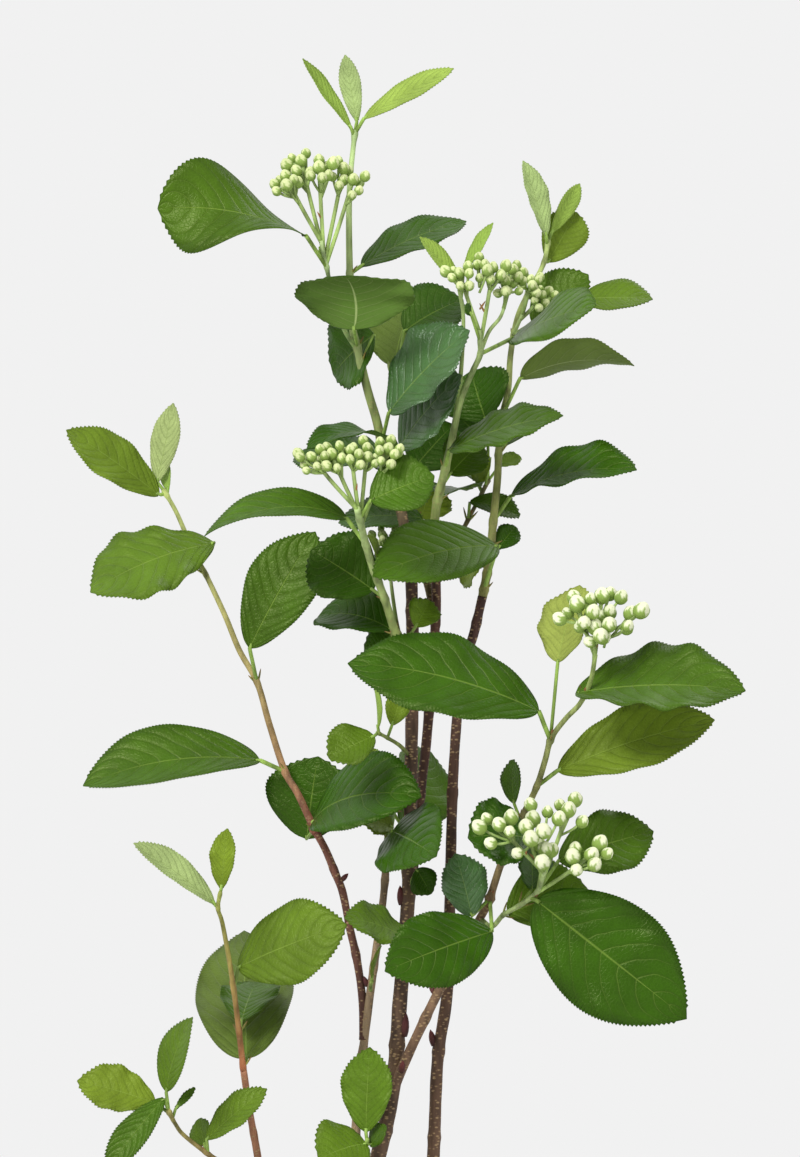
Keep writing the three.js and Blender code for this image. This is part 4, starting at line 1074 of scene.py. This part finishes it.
# %% The small shoot behind
shoot(
    "behind", "foliage_behind", "bough_middle", (1, 0.7), ("#5f4a38", "#6a6a40"),
    route=[(34.5, 4, 620), (38.5, 14.5, 628), (45.5, 25.5, 641.5), (52, 36, 654)],
    leaves=[
        leaf(50, 167, 43, 15, 24, tone="dark", fold=12, stalk=(13, 87, 99)),
        leaf(47, 172, -20, 9.5, 20, tone="bright", arch=10, fold=10, stalk=(11, 70, -62)),
        leaf(30, -6, -17, 19, 12, arch=35, face=40, fold=15, stalk=(7, 71, -71)),
        leaf(50, 12, 20, 8.5, 8, tone="young", arch=5, face=40, fold=20, stalk=(7, 53, 4)),
        leaf(44, 122, 33, 36, 23, arch=25, face=0, fold=10, stalk=(6, 48, 122)),
    ],
)

# %% The left shoot
shoot(
    "left", "foliage_left", "bough_left", (1.4, 0.8), ("#8a5443", "#a3b065"),
    route=[(-10, 9, 527), (-16.5, 12, 541), (-21.5, 16, 549.5), (-27, 20.5, 566), (-31.5, 25, 581),
           (-38, 29.5, 592.5), (-43.5, 34.5, 605.5), (-50.5, 40, 620), (-54.5, 44, 627),
           (-58.5, 49.5, 636), (-62, 54.5, 643.5), (-66.5, 60, 651)],
    leaves=[
        leaf(145, -171, 35, 41.5, 19, tone="bright", arch=15, face=62, fold=10,
             stalk=(2.7, -13, -160)),
        leaf(146, 16, 78, 29.5, 11, tone="hairy", arch=-12, fold=20, stalk=(4.5, 52, 174)),
        leaf(144, 100, 63, 11.5, 6, tone="young", arch=5, fold=15, stalk=(2.2, 63, 64)),
        leaf(120, -163, -21, 50.5, 36, tone="fresh", arch=34, face=40, twist=-20, fold=2, peak=0.6,
             stalk=(9, 6, -16)),
        leaf(61, 12, 60, 48.5, 27, arch=22, stalk=(14, 62, -112)),
        leaf(26, -175, -8, 65.5, 32, arch=42, face=38, fold=15, stalk=(10, 24, -174)),
        leaf(2, 7, 82, 30, 34, tone="dark", arch=15, face=66, stalk=(11.5, -20, 105)),
        leaf(2, -38, 11, 53, 36, tone="deep", arch=66, face=50, stalk=(4, 49, -97)),
        leaf(107, 129, 16, 29, 19, arch=25, face=0, fold=10, stalk=(6, 31, 129)),
    ],
)

# %% The front shoot
shoot(
    "front", "foliage_front", "stem_main", (1.6, 1.2), ("#7f8a48", "#a3b878"),
    route=[(22.5, -3, 593.5), (18.5, -10.5, 599), (14.5, -19.5, 611.5), (9.5, -28.5, 625),
           (6.5, -37.5, 636.5), (5, -45, 643)],
    leaves=[
        leaf(50, -162, -7, 55.5, 19, arch=66, face=30, twist=-50, fold=15, stalk=(12, 52, 161)),
        leaf(62, 3, 21, 24, 24, arch=15, face=58, fold=12, stalk=(12, 34, -67)),
        leaf(26, 167, 32, 27, 28, tone="dark", face=65, fold=12, stalk=(5, 36, 168)),
        leaf(10, 150, 8, 32.5, 26, tone="dark", arch=58, face=35, fold=14, stalk=(3.5, 23, 117)),
        leaf(9, 154, -16, 12, 14, tone="dark", fold=10, stalk=(2.3, -44, 147)),
        leaf(34, -135, 60, 12, 7, tone="bright", arch=10, fold=20, stalk=(6, 71, -66)),
        leaf(3, 49, 50, 12, 12, tone="fresh", arch=10, face=50, fold=15, stalk=(8, 54, -22)),
        leaf(38, 62, 9, 28, 18, arch=25, face=0, fold=10, stalk=(6, 24, 62)),
    ],
    bud=1.9,
    heads=[(-16, -2, 17.5, 4), (-9, 1, 17.5, 6), (-2.2, -1, 19.5, 5), (3.5, 2, 20, 4),
           (11, -3, 20, 4)],
)

# %% The late cluster
shoot(
    "front_side", "foliage_front_side", "stem_main", (0.9, 0.6), ("#8ba25a", "#a4ba74"),
    route=[(23, 1, 588.5), (19.5, 4, 599.5), (17.5, 5, 611.5), (16, 5, 624.5)],
    bud=1.5,
    heads=[(-2.4, 0, 9, 3), (1.9, 1, 9, 3)],
)

# %% The outer shoot
shoot(
    "outer", "foliage_outer", "bough_right", (1.4, 0.8), ("#7a5f45", "#98ac62"),
    route=[(51, -20, 502.5), (55.5, -24, 517), (58, -27.5, 522.5), (62.5, -31, 533.5),
           (66, -35, 540.5), (68.5, -38.5, 546.5), (71, -43, 555), (73, -46.5, 562.5),
           (78, -50, 569.5), (83, -54, 575), (86.5, -59, 583), (88, -63, 592)],
    leaves=[
        leaf(69, 178, 14, 70, 37, tone="deep", arch=36, face=48, fold=4, stalk=(13, 53, -123)),
        leaf(69, 41, 69, 29, 27, tone="pale", arch=14, face=0, fold=6, stalk=(27.5, 84, 24)),
        leaf(91, -10, 1, 60, 38, arch=22, face=36, twist=20, fold=14, peak=0.5,
             stalk=(3.5, 16, -157)),
        leaf(50, -9, 18, 58.5, 27, tone="bright", arch=22, face=58, fold=12, stalk=(9.5, 37, -11)),
        leaf(35, 106, 81, 15.5, 12, arch=10, face=72, stalk=(6.5, 66, -149)),
        leaf(25, -163, 1, 24, 30, tone="dark", arch=30, face=48, stalk=(17, 10, -63)),
        leaf(3, -166, 75, 23, 18, tone="gloss", arch=10, face=78, stalk=(11, -33, -135)),
        leaf(3, -148, -16, 46.5, 28, tone="deep", arch=22, face=62, fold=4, stalk=(15.5, -46, -87)),
        leaf(18, 95, 22, 29, 18, arch=25, face=0, fold=10, stalk=(6, 37, 95)),
    ],
    bud=2.6,
    heads=[(-6.5, -2, 15.5, 4), (-0.3, -4, 8, 3), (2.4, 3, 18.5, 4), (6.5, -1, 10.5, 3),
           (10.5, 2, 16, 4)],
)

# %% The outer shoot's side branch
shoot(
    "outer_side", "foliage_outer_low", "bough_right", (0.9, 0.8), ("#87985a", "#a3b67a"),
    route=[(48.5, -19, 498), (52.5, -25, 495.5), (56.5, -31.5, 500), (62, -37.5, 503.5),
           (68, -44, 508.5), (70.5, -51, 516)],
    leaves=[
        leaf(36, 13, 16, 36, 25, arch=15, face=58, fold=6, stalk=(18, 36, 57)),
        leaf(32, -6, -38, 67, 41, tone="deep", arch=10, face=82, fold=2, peak=0.5,
             stalk=(3.5, -14, -58)),
        leaf(17, 17, 16, 31, 28, tone="fresh", fold=12, stalk=(3.5, 2, 67)),
        leaf(26, -158, 88, 15, 20, tone="dark", arch=15, fold=12, stalk=(8, 42, 46)),
    ],
    bud=2.6,
    heads=[(-16, -8, 15, 5), (-6.5, -6, 13.5, 3), (0.2, -2, 18, 5), (8.5, 2, 19.5, 4),
           (0.1, -5, 7, 3), (16.5, -1, 5, 5)],
)

# %% The inner shoot
shoot(
    "inner", "foliage_inner", "stem_left", (1.2, 0.8), ("#6a8a3c", "#7fa04a"),
    route=[(15.5, 6, 524.5), (17, 12.5, 532), (17.5, 24, 538.5), (16.5, 39, 549)],
    leaves=[
        leaf(15, 65, 49, 36, 30, face=66, stalk=(7.5, -53, 26)),
        leaf(4, -155, 19, 13.5, 14, tone="bright", arch=10, fold=15, stalk=(3.5, 36, -64)),
        leaf(1, -72, -8, 51, 30, tone="deep", arch=26, face=50, fold=6, stalk=(7.5, 24, -77)),
        leaf(39, 146, -55, 17, 15, tone="bright", arch=15, fold=20, stalk=(10.5, 58, -154)),
    ],
)

# %% The leafy twig on the main stem
shoot(
    "twig", "foliage_twig", "stem_main", (0.8, 0.6), ("#6f7a40", "#8a9c4e"),
    route=[(23.5, -2, 555), (20, -8.5, 559), (15.5, -16.5, 562), (12, -24, 564)],
    leaves=[
        leaf(25, -119, 79, 16, 10, tone="young", arch=15, fold=20, stalk=(2.1, 73, -133)),
        leaf(26, -162, -25, 18.5, 18, tone="fresh", face=50, fold=15, stalk=(2, -32, -148)),
        leaf(18, 44, 67, 12.5, 9, tone="bright", arch=10, face=50, fold=15, stalk=(5, 69, 20)),
    ],
)

# %% The low left shoot
shoot(
    "low", "foliage_low", "stem_low", (1.1, 0.7), ("#94583a", "#97a050"),
    route=[(-35.5, -15, 443.5), (-37.5, -19.5, 462), (-39.5, -25.5, 478.5), (-42.5, -31.5, 496.5),
           (-44, -37.5, 502.5), (-43, -44, 508.5)],
    leaves=[
        leaf(65, -173, 37, 35.5, 12, tone="hairy", arch=14, face=50, fold=24,
             stalk=(2.3, 49, -157)),
        leaf(72, 22, 84, 21, 10, tone="bright", arch=10, face=50, fold=26, stalk=(2.6, 77, 20)),
        leaf(31, -21, 21, 44.5, 31, tone="fresh", face=68, fold=3, stalk=(8, 78, 31)),
        leaf(2, 92, 36, 72.5, 35, tone="olive", arch=12, face=8, fold=4, peak=0.48,
             stalk=(4, 40, 69)),
        leaf(15, 80, 22, 32, 21, arch=25, face=0, fold=10, stalk=(6, 37, 80)),
    ],
)

# %% The lowest left shoot
shoot(
    "lowest", "foliage_lowest", "stem_low", (0.9, 0.7), ("#6a4030", "#9a9455"),
    route=[(-29, -13, 402), (-36.5, -17.5, 408), (-47, -24.5, 414.5), (-56, -30.5, 422),
           (-59, -36, 426.5), (-61.5, -42, 432)],
    leaves=[
        leaf(52, -179, 16, 28.5, 18, tone="bright", arch=15, fold=14, stalk=(6.5, 36, 173)),
        leaf(53, -22, 69, 28.5, 16, tone="fresh", arch=30, twist=-30, fold=10,
             stalk=(7.5, 74, 120)),
        leaf(53, -157, -49, 33.5, 12, arch=15, face=48, fold=15, stalk=(5.5, 65, -139)),
        leaf(49, 21, 45, 10, 3, arch=5, face=50, fold=15, stalk=(4, 71, 20)),
        leaf(26, -7, 40, 28, 13, tone="fresh", arch=15, face=55, fold=12, stalk=(6, 67, -99)),
        leaf(27, 118, 62, 10.5, 10, tone="fresh", arch=10, face=70, fold=10, stalk=(2.5, 70, 115)),
    ],
)

# %% The low shoot in the centre
shoot(
    "centre_low", "foliage_centre_low", "stem_left", (0.9, 0.6), ("#7a8a4a", "#8ea656"),
    route=[(2.5, 6, 399.5), (4.5, -2.5, 407), (7, -12, 413.5), (8.5, -18, 420)],
    leaves=[
        leaf(31, 51, 86, 30, 19, tone="fresh", arch=10, face=20, stalk=(3.5, 76, -115)),
        leaf(29, -149, -14, 20.5, 24, tone="fresh", arch=35, face=45, fold=12,
             stalk=(1.9, 22, -91)),
        leaf(31, -31, 48, 10, 9, arch=10, face=65, fold=12, stalk=(2.1, -57, 23)),
    ],
)

# %% The upper spur
shoot(
    "spur_upper", "foliage_spur_upper", "stem_main", (0.9, 0.7), ("#7a8a4a", "#8ea656"),
    route=[(24, -2, 508), (24.5, -5, 511), (25.5, -7, 513.5)],
    leaves=[
        leaf(8, -54, -45, 12, 11, tone="dark", arch=10, fold=10, stalk=(2.1, 50, -65)),
    ],
)

# %% The lower spur
shoot(
    "spur_lower", "foliage_spur_lower", "stem_main", (1, 0.7), ("#7a8a4a", "#8ea656"),
    route=[(21.5, -3, 482), (22.5, -7, 485.5), (23.5, -9, 488.5)],
    leaves=[
        leaf(9, -150, 18, 28.5, 20, tone="fresh", arch=30, face=44, fold=6, stalk=(2.9, 33, -88)),
    ],
)

# %% The spur on the left stem
shoot(
    "spur_left", "foliage_spur_left", "stem_left", (0.8, 0.6), ("#7a8a4a", "#8ea656"),
    route=[(9.5, 4, 470.5), (9.5, 1, 473), (10, -1, 475)],
    leaves=[
        leaf(7, -58, 62, 13, 7, tone="bright", arch=10, face=50, fold=20, stalk=(1.6, 55, -89)),
    ],
)

# %% Low shoots by rule: left
shoot(
    "base_left", "foliage_base_left", "stem_low", (1.1, 0.7), ("#7a5a44", "#8a9a5a"),
    route=[(-23, -11, 328.5), (-28, -16, 333.5), (-35.5, -24, 341.5), (-41.5, -30, 348.5)],
    seeded=(4, 40, 150),
)

# %% Low shoots by rule: right
shoot(
    "base_right", "foliage_base_right", "stem_right", (1.1, 0.7), ("#7a5a44", "#8a9a5a"),
    route=[(27.5, 11, 324), (34.5, 16, 332), (44, 22, 340.5), (51, 28, 347)],
    seeded=(4, 42, 30),
)

# %% Low shoots by rule: front
shoot(
    "base_front", "foliage_base_front", "stem_main", (1.1, 0.7), ("#7a5a44", "#8a9a5a"),
    route=[(2.5, -10, 328), (7.5, -20, 335.5), (15, -32, 346.5), (20, -42, 356.5)],
    seeded=(4, 38, -80),
)

# %% Low shoots by rule: back
shoot(
    "base_back", "foliage_base_back", "stem_left", (1.1, 0.7), ("#7a5a44", "#8a9a5a"),
    route=[(-5, 9, 288.5), (-9, 20, 295), (-14.5, 34, 303), (-18.5, 46, 310.5)],
    seeded=(4, 42, 100),
)

# %% [markdown]
# The low shoots have no leaves of their own in the list: they follow the plant's rule. Each
# next leaf stands two fifths of a turn further round the shoot and a little lower, grown
# leaves spread wider, and seeded numbers keep any two from being alike.

# %% Leaves by rule
SEED = 417
LEAF_TURN = 144
TURN_SCATTER = 30
LEAF_SPACING = 9
LEAF_SHAPE = 0.66
TIP_RISE = 50
RISE_LOSS = 34
RISE_SCATTER = 14
STALK_ABOVE_BLADE = 18


def seeded_leaves(shoot, numbers):
    count, long, start = shoot["seeded"]
    leaves = []
    for index in range(count):
        way = start + index * LEAF_TURN + (next(numbers) - 0.5) * TURN_SCATTER
        rise = TIP_RISE - RISE_LOSS * math.sqrt(index / count)
        rise += (next(numbers) - 0.5) * RISE_SCATTER
        size = long * (0.62 + 0.38 * math.sin(math.pi * (index + 1) / (count + 1)))
        size *= 0.9 + 0.2 * next(numbers)
        arch = 22 + 16 * next(numbers)
        stalk = (5 + 2 * next(numbers), rise + STALK_ABOVE_BLADE, way)
        tone = "bright" if index == 0 else "mid"
        leaves.append(leaf(shoot["curve"].length - 0.5 - index * LEAF_SPACING, way, rise, size,
                           size * LEAF_SHAPE, tone, arch=arch, face=0, fold=9, stalk=stalk))
    return leaves


# %% [markdown]
# A flower cluster is a flat-topped corymb: rays part from the top of the shoot, and each ray
# ends in a bud and carries a few more on its sides, turned by the golden angle. Every second
# bud is also in the solids; the others are set in between where there is room. Lengths here
# are shares of a bud's radius, so that an older cluster with larger buds is larger.

# %% Buds by rule
GOLDEN_ANGLE = 137.5
RAY_STEP = 2.2
FIRST_RAY = 0.3
RAY_PART = 0.4
LAST_PART = 0.8
FILL_PART = 0.72
BUD_SPREAD = 3
FILL_SPREAD = 0.85
BUD_CLEAR = 2.25
BUD_CLOSE = 1.85
CLUSTER_LEAN = 0.6
LARGE_BUD = 2.4
FILL_TRIES = 60
FEW_TRIES = 9
RAY_RADIUS = 0.75
FLOWER_STALK_RADIUS = 0.48


def has_room(placed, centre, room):
    return all((other[1] - centre).length > room for other in placed)


def ray(shoot, order):
    """The places where a ray leaves the shoot and where it ends."""
    curve = shoot["curve"]
    x, y, z, _ = shoot["heads"][order]
    start = curve.at(curve.length - (order + FIRST_RAY) * RAY_STEP)
    return start, curve.places[-1] + Vector((x, y, z))


def ruled_buds(shoot, numbers):
    """The buds of the plant's rule, each with whether the solids leave it out."""
    size = shoot["bud"]
    buds = []
    for order, (*_, count) in enumerate(shoot["heads"]):
        start, head = ray(shoot, order)
        phase = next(numbers) * 360
        for index in range(count):
            turn = phase + index * GOLDEN_ANGLE
            spread = BUD_SPREAD * size * math.sqrt(index / count)
            lift = (0.2 + 0.8 * next(numbers)) * size
            centre = head + direction(turn, 0) * spread + Vector((0, 0, lift))
            centre.z += CLUSTER_LEAN * (centre.y - head.y)
            part = 0 if index == 0 else RAY_PART + (LAST_PART - RAY_PART) * index / count
            thick = RAY_RADIUS if index == 0 else FLOWER_STALK_RADIUS
            radius = size * (1.05 + 0.2 * next(numbers))
            buds.append((index % 2, start.lerp(head, part), centre, radius, thick))
    return buds


def cluster(shoot, numbers, looks):
    """All buds of a shoot: foot of the stalk, centre, radius and radius of the stalk."""
    size = shoot["bud"]
    placed = []
    wanted = ruled_buds(shoot, numbers)
    for turn_of, room in enumerate((BUD_CLEAR, BUD_CLOSE)):
        for odd, start, centre, radius, thick in wanted:
            if odd == turn_of and has_room(placed, centre, room * size):
                placed.append((start, centre, radius, thick))
    for order in range(len(shoot["heads"])):
        start, head = ray(shoot, order)
        for _ in range(FILL_TRIES if size < LARGE_BUD else FEW_TRIES):
            spread = FILL_SPREAD * BUD_SPREAD * size * math.sqrt(next(looks))
            centre = head + direction(360 * next(looks), 0) * spread
            centre.z += CLUSTER_LEAN * (centre.y - head.y)
            centre.z += (2.6 * next(looks) - 1.4) * size
            radius = size * (0.85 + 0.25 * next(looks))
            if has_room(placed, centre, BUD_CLOSE * size):
                placed.append((start.lerp(head, FILL_PART), centre, radius, FLOWER_STALK_RADIUS))
    return placed


# %% [markdown]
# A closed chokeberry bud is a cream ball held in a cup of five pointed green sepals. Both are
# one sphere: vertices under a zigzag line around it stand a little higher and are painted
# green, and those above it are the petals, which overlap in five soft folds. The buds of the
# young clusters are still greener than those of the older ones.

# %% One bud
SEPALS = 5
BUD_COLOURS = {"young": ("#d0d99e", "#8ba552"), "older": ("#e6eac4", "#8aa450")}
BUD_SIZE = 0.86
BUD_LENGTH = 1.14
CUP_FOOT = -0.25
CUP_TEETH = 0.85
CUP_SWELL = 1.07
PETAL_SWELL = 0.97
PETAL_FOLD = 0.035
CROWN_NARROW = 0.12


def flower_bud(bm, layer, start, centre, radius, age, numbers):
    axis = (centre - start).normalized()
    axis = (axis + Vector((0, 0, 0.6))).normalized()
    turn = axis.to_track_quat("Z", "Y").to_matrix()
    brightness = 0.9 + 0.18 * next(numbers)
    petal, sepal = [linear(colour) for colour in BUD_COLOURS[age]]
    ball = bmesh.ops.create_uvsphere(bm, u_segments=20, v_segments=12, radius=1)
    for vert in ball["verts"]:
        angle = math.atan2(vert.co.y, vert.co.x)
        lobe = abs((angle / math.tau * SEPALS) % 1 - 0.5) * 2
        covered = vert.co.z < CUP_FOOT + CUP_TEETH * lobe
        height = max(0, vert.co.z)
        fold = PETAL_FOLD * math.cos(SEPALS * angle) * height
        swell = CUP_SWELL if covered else PETAL_SWELL + fold
        width = swell * (1 - CROWN_NARROW * height ** 2)
        shape = Vector((vert.co.x * width, vert.co.y * width, vert.co.z * BUD_LENGTH * swell))
        colour = sepal if covered else petal
        vert[layer] = (*[c * brightness for c in colour[:3]], 0)
        vert.co = (centre + (turn @ shape) * radius) * MM


# %% [markdown]
# Buds are covered with short white down, too fine to show hair by hair. A noise in the relief,
# coarser than the hairs so that it shows, and a low shine make them soft instead of glazed.

# %% Bud material
DOWN = 0.5

bud_skin, tree, shader = new_material("downy flower bud")
place = add(tree, "ShaderNodeTexCoord", output="Object")
painted = add(tree, "ShaderNodeAttribute", output="Color", attribute_name="bud_colour")
down = add(tree, "ShaderNodeTexNoise", {"Vector": place, "Scale": 1 / (DOWN * MM), "Detail": 2})
relief = add(tree, "ShaderNodeBump", {"Height": down, "Strength": 0.35, "Distance": 0.12 * MM})
feed(tree, shader, {"Base Color": painted, "Roughness": 0.6, "Specular IOR Level": 0.15,
                    "Normal": relief})

# %% [markdown]
# Where a leaf stalk leaves the shoot there are small things that make it look alive: a
# pointed bud above the stalk, and often a thin stipule on either side of it. They are short
# tubes that swell and close again. They gather in one mesh with the twigs.

# %% Small things at the nodes
YOUNG_TIP = 14
STIPULE_SHARE = 0.55
NODE_BUD = 2.4
STIPULE = 3.2
NODE_BUD_COLOURS = ("#7d8a45", "#8a4436")
STIPULE_COLOURS = ("#86953f", "#7a5a38")

twigs = bmesh.new()
twig_paint = twigs.verts.layers.float_color.new("bark_colour")


def pointed(foot, towards, long, thick, colours):
    """A small pointed bud, bract or stipule: a tube that swells and then closes."""
    axis = Curve([foot, foot + towards * long * 0.5, foot + towards * long], 4)
    tube(twigs, axis, lambda place: 0.08 + thick * math.sin(
        math.pi * min(1, 0.25 + 0.75 * place / axis.length)) ** 0.8, sides=7, step=long / 5,
        paint=twig_paint, colours=bark_paint(colours, (0, 0)))


def node_details(curve, spec, looks):
    """What stands where a leaf stalk leaves the shoot: a bud above it, a stipule each side."""
    if curve.length - spec["at"] < YOUNG_TIP:
        return
    stem_way = curve.along(spec["at"])
    stalk_way = direction(spec["stalk"][2], spec["stalk"][1])
    root = curve.at(spec["at"]) + stem_way * 1.2
    pointed(root, (stem_way + stalk_way * 0.55).normalized(), NODE_BUD + next(looks), 0.62,
            NODE_BUD_COLOURS)
    aside = stem_way.cross(stalk_way).normalized()
    for sign in (-1, 1):
        if next(looks) < STIPULE_SHARE:
            towards = (stalk_way + stem_way * 0.8 + aside * sign * 0.9).normalized()
            foot = curve.at(spec["at"]) + aside * sign * 0.6
            pointed(foot, towards, STIPULE + 1.6 * next(looks), 0.3, STIPULE_COLOURS)


# %% [markdown]
# Now everything is grown in one pass, shoot by shoot, in the same order as the solids, so
# that the same seeded numbers give the same leaves and buds. Twigs, leaves and buds each
# gather in a mesh of their own, so that each kind stays apart.

# %% The meshes that everything gathers in
CROWN = ["foliage_top", "foliage_back", "foliage_middle", "foliage_right", "foliage_behind"]

groups = {}
for name in ("crown", "sides"):
    leaf_mesh = bmesh.new()
    groups[name] = {
        "masses": set(), "leaves": leaf_mesh,
        "layers": {
            "uv": leaf_mesh.loops.layers.uv.new("UVMap"),
            "colour": leaf_mesh.verts.layers.float_color.new("leaf_colour"),
            "up": leaf_mesh.verts.layers.float_vector.new("up"),
            "size": leaf_mesh.verts.layers.float.new("leaf_size"),
        },
    }
buds = bmesh.new()
bud_paint = buds.verts.layers.float_color.new("bud_colour")

# %% Grow the shoots
LOOKS_SEED = 2025
STALK_COLOURS = ("#7f9a45", "#8dab50")
FLOWER_STALK_COLOURS = ("#8fa85a", "#a3b872")
SHOOT_NODE_SWELL = 0.22
SHOOT_NODE_REACH = 1.3
STALK_IN_BLADE = 1.2
STALK_RADIUS = 0.5
STALK_GAIN = 0.005
TWIG_WOOD = (0.4, 0)


def shoot_radius(shoot, place):
    foot, tip = shoot["radii"]
    radius = foot + (tip - foot) * place / shoot["curve"].length
    for spec in shoot["leaves"]:
        from_node = (place - spec["at"]) / SHOOT_NODE_REACH
        radius += SHOOT_NODE_SWELL * radius * math.exp(-from_node ** 2)
    return radius


def grow_leaf(group, curve, spec, looks):
    root, foot, along, _ = leaf_frame(curve, spec)
    bent = Curve([root, root.lerp(foot, 0.5), foot, foot + along * STALK_IN_BLADE], 6)
    thick = STALK_RADIUS + STALK_GAIN * spec["long"]
    tube(twigs, bent, lambda place: thick, sides=7, step=1.6, paint=twig_paint,
         colours=bark_paint(STALK_COLOURS, (0, 0)))
    node_details(curve, spec, looks)
    blade(group["leaves"], group["layers"], curve, spec, looks)


def grow_cluster(shoot, numbers, looks):
    """Grow the buds of a shoot's cluster and their stalks, and return how many there are."""
    age = "older" if shoot["bud"] > LARGE_BUD else "young"
    placed = cluster(shoot, numbers, looks)
    for start, centre, radius, thick in placed:
        stalk = Curve([start, start.lerp(centre, 0.55) + Vector((0, 0, -0.6)), centre], 6)
        tube(twigs, stalk, lambda place, thick=thick: thick, sides=7, step=2, paint=twig_paint,
             colours=bark_paint(FLOWER_STALK_COLOURS, (0, 0)))
        flower_bud(buds, bud_paint, start, centre, radius * BUD_SIZE, age, looks)
    return len(placed)


numbers = stream(SEED)
looks = stream(LOOKS_SEED)
leaf_count = 0
bud_count = 0
for grown in SHOOTS:
    if grown["seeded"]:
        grown["leaves"] += seeded_leaves(grown, numbers)
    group = groups["crown" if grown["mass"] in CROWN else "sides"]
    group["masses"].add(grown["mass"])
    tube(twigs, grown["curve"], lambda place, grown=grown: shoot_radius(grown, place), sides=10,
         step=1.5, paint=twig_paint, colours=bark_paint(grown["bark"], TWIG_WOOD))
    for spec in grown["leaves"]:
        grow_leaf(group, grown["curve"], spec, looks)
    leaf_count += len(grown["leaves"])
    bud_count += grow_cluster(grown, numbers, looks)
print("leaves:", leaf_count, "flower buds:", bud_count)

# %% [markdown]
# On last year's wood a few winter buds stayed closed. Each row names its limb, its height
# above the ground, which way it points, how steeply, and how long it is.

# %% Winter buds
WINTER_BUD_COLOURS = ("#573530", "#5f2a2b")
WINTER_BUDS = [
    ("stem_main", 502, 190, 84, 7), ("stem_main", 455.5, -20, 84, 9),
    ("stem_left", 473, 180, 68, 4), ("bough_right", 443, -80, 55, 5),
    ("bough_right", 471, 150, 60, 4), ("stem_right", 451, 185, 76, 6),
    ("bough_left", 510, 10, 45, 3.5), ("stem_main", 398, 80, 70, 4),
    ("stem_right", 372, -20, 65, 4), ("stem_left", 330, 150, 65, 4),
    ("stem_low", 356, 40, 60, 4), ("stem_main", 300, -70, 65, 4),
    ("stem_right", 285, 120, 65, 4), ("bough_back", 540, 60, 60, 4),
]

for limb_name, height, way, rise, long in WINTER_BUDS:
    curve = LIMBS[limb_name]["curve"]
    place = min(range(round(curve.length)), key=lambda mm: abs(curve.at(mm).z - height))
    outward = direction(way, 0) * limb_radius(LIMBS[limb_name], place) * 0.8
    pointed(curve.at(place) + outward, direction(way, rise), long, 0.16 * long + 0.35,
            WINTER_BUD_COLOURS)
print("winter buds:", len(WINTER_BUDS))

# %% [markdown]
# About half of the rays of a cluster still carry a bract, a narrow scale that has dried to
# brown. It stands out sideways from where the first buds part.

# %% Bracts
BARE_RAYS = 0.45
BRACT = 3
BRACT_COLOURS = ("#a07a48", "#8a5a38")

bract_count = 0
for grown in SHOOTS:
    for order in range(len(grown["heads"])):
        if next(looks) < BARE_RAYS:
            continue
        start, head = ray(grown, order)
        towards = (direction(360 * next(looks), 20) + (head - start).normalized()).normalized()
        pointed(start.lerp(head, RAY_PART), towards, BRACT + 1.5 * next(looks), 0.3,
                BRACT_COLOURS)
        bract_count += 1
print("bracts:", bract_count)

# %% [markdown]
# The sheets become leaves when they get their thickness. Which skin is which is told by the
# direction that was stored on each vertex as the blade was bent.

# %% Finish the leaves, twigs and buds
LEAF_THICKNESS = 0.3

for name, group in groups.items():
    leaves = group["leaves"]
    up = group["layers"]["up"]
    bmesh.ops.solidify(leaves, geom=leaves.faces, thickness=LEAF_THICKNESS * MM)
    bmesh.ops.recalc_face_normals(leaves, faces=leaves.faces)
    for face in leaves.faces:
        face.material_index = 0 if face.normal.dot(face.verts[0][up]) > 0 else 1
    leaves.verts.layers.float_vector.remove(up)
    piece("leaves_" + name, leaves, [leaf_top, leaf_under],
          sorted(group["masses"]))
piece("twigs", twigs, [bark])
piece("flower_buds", buds, [bud_skin])
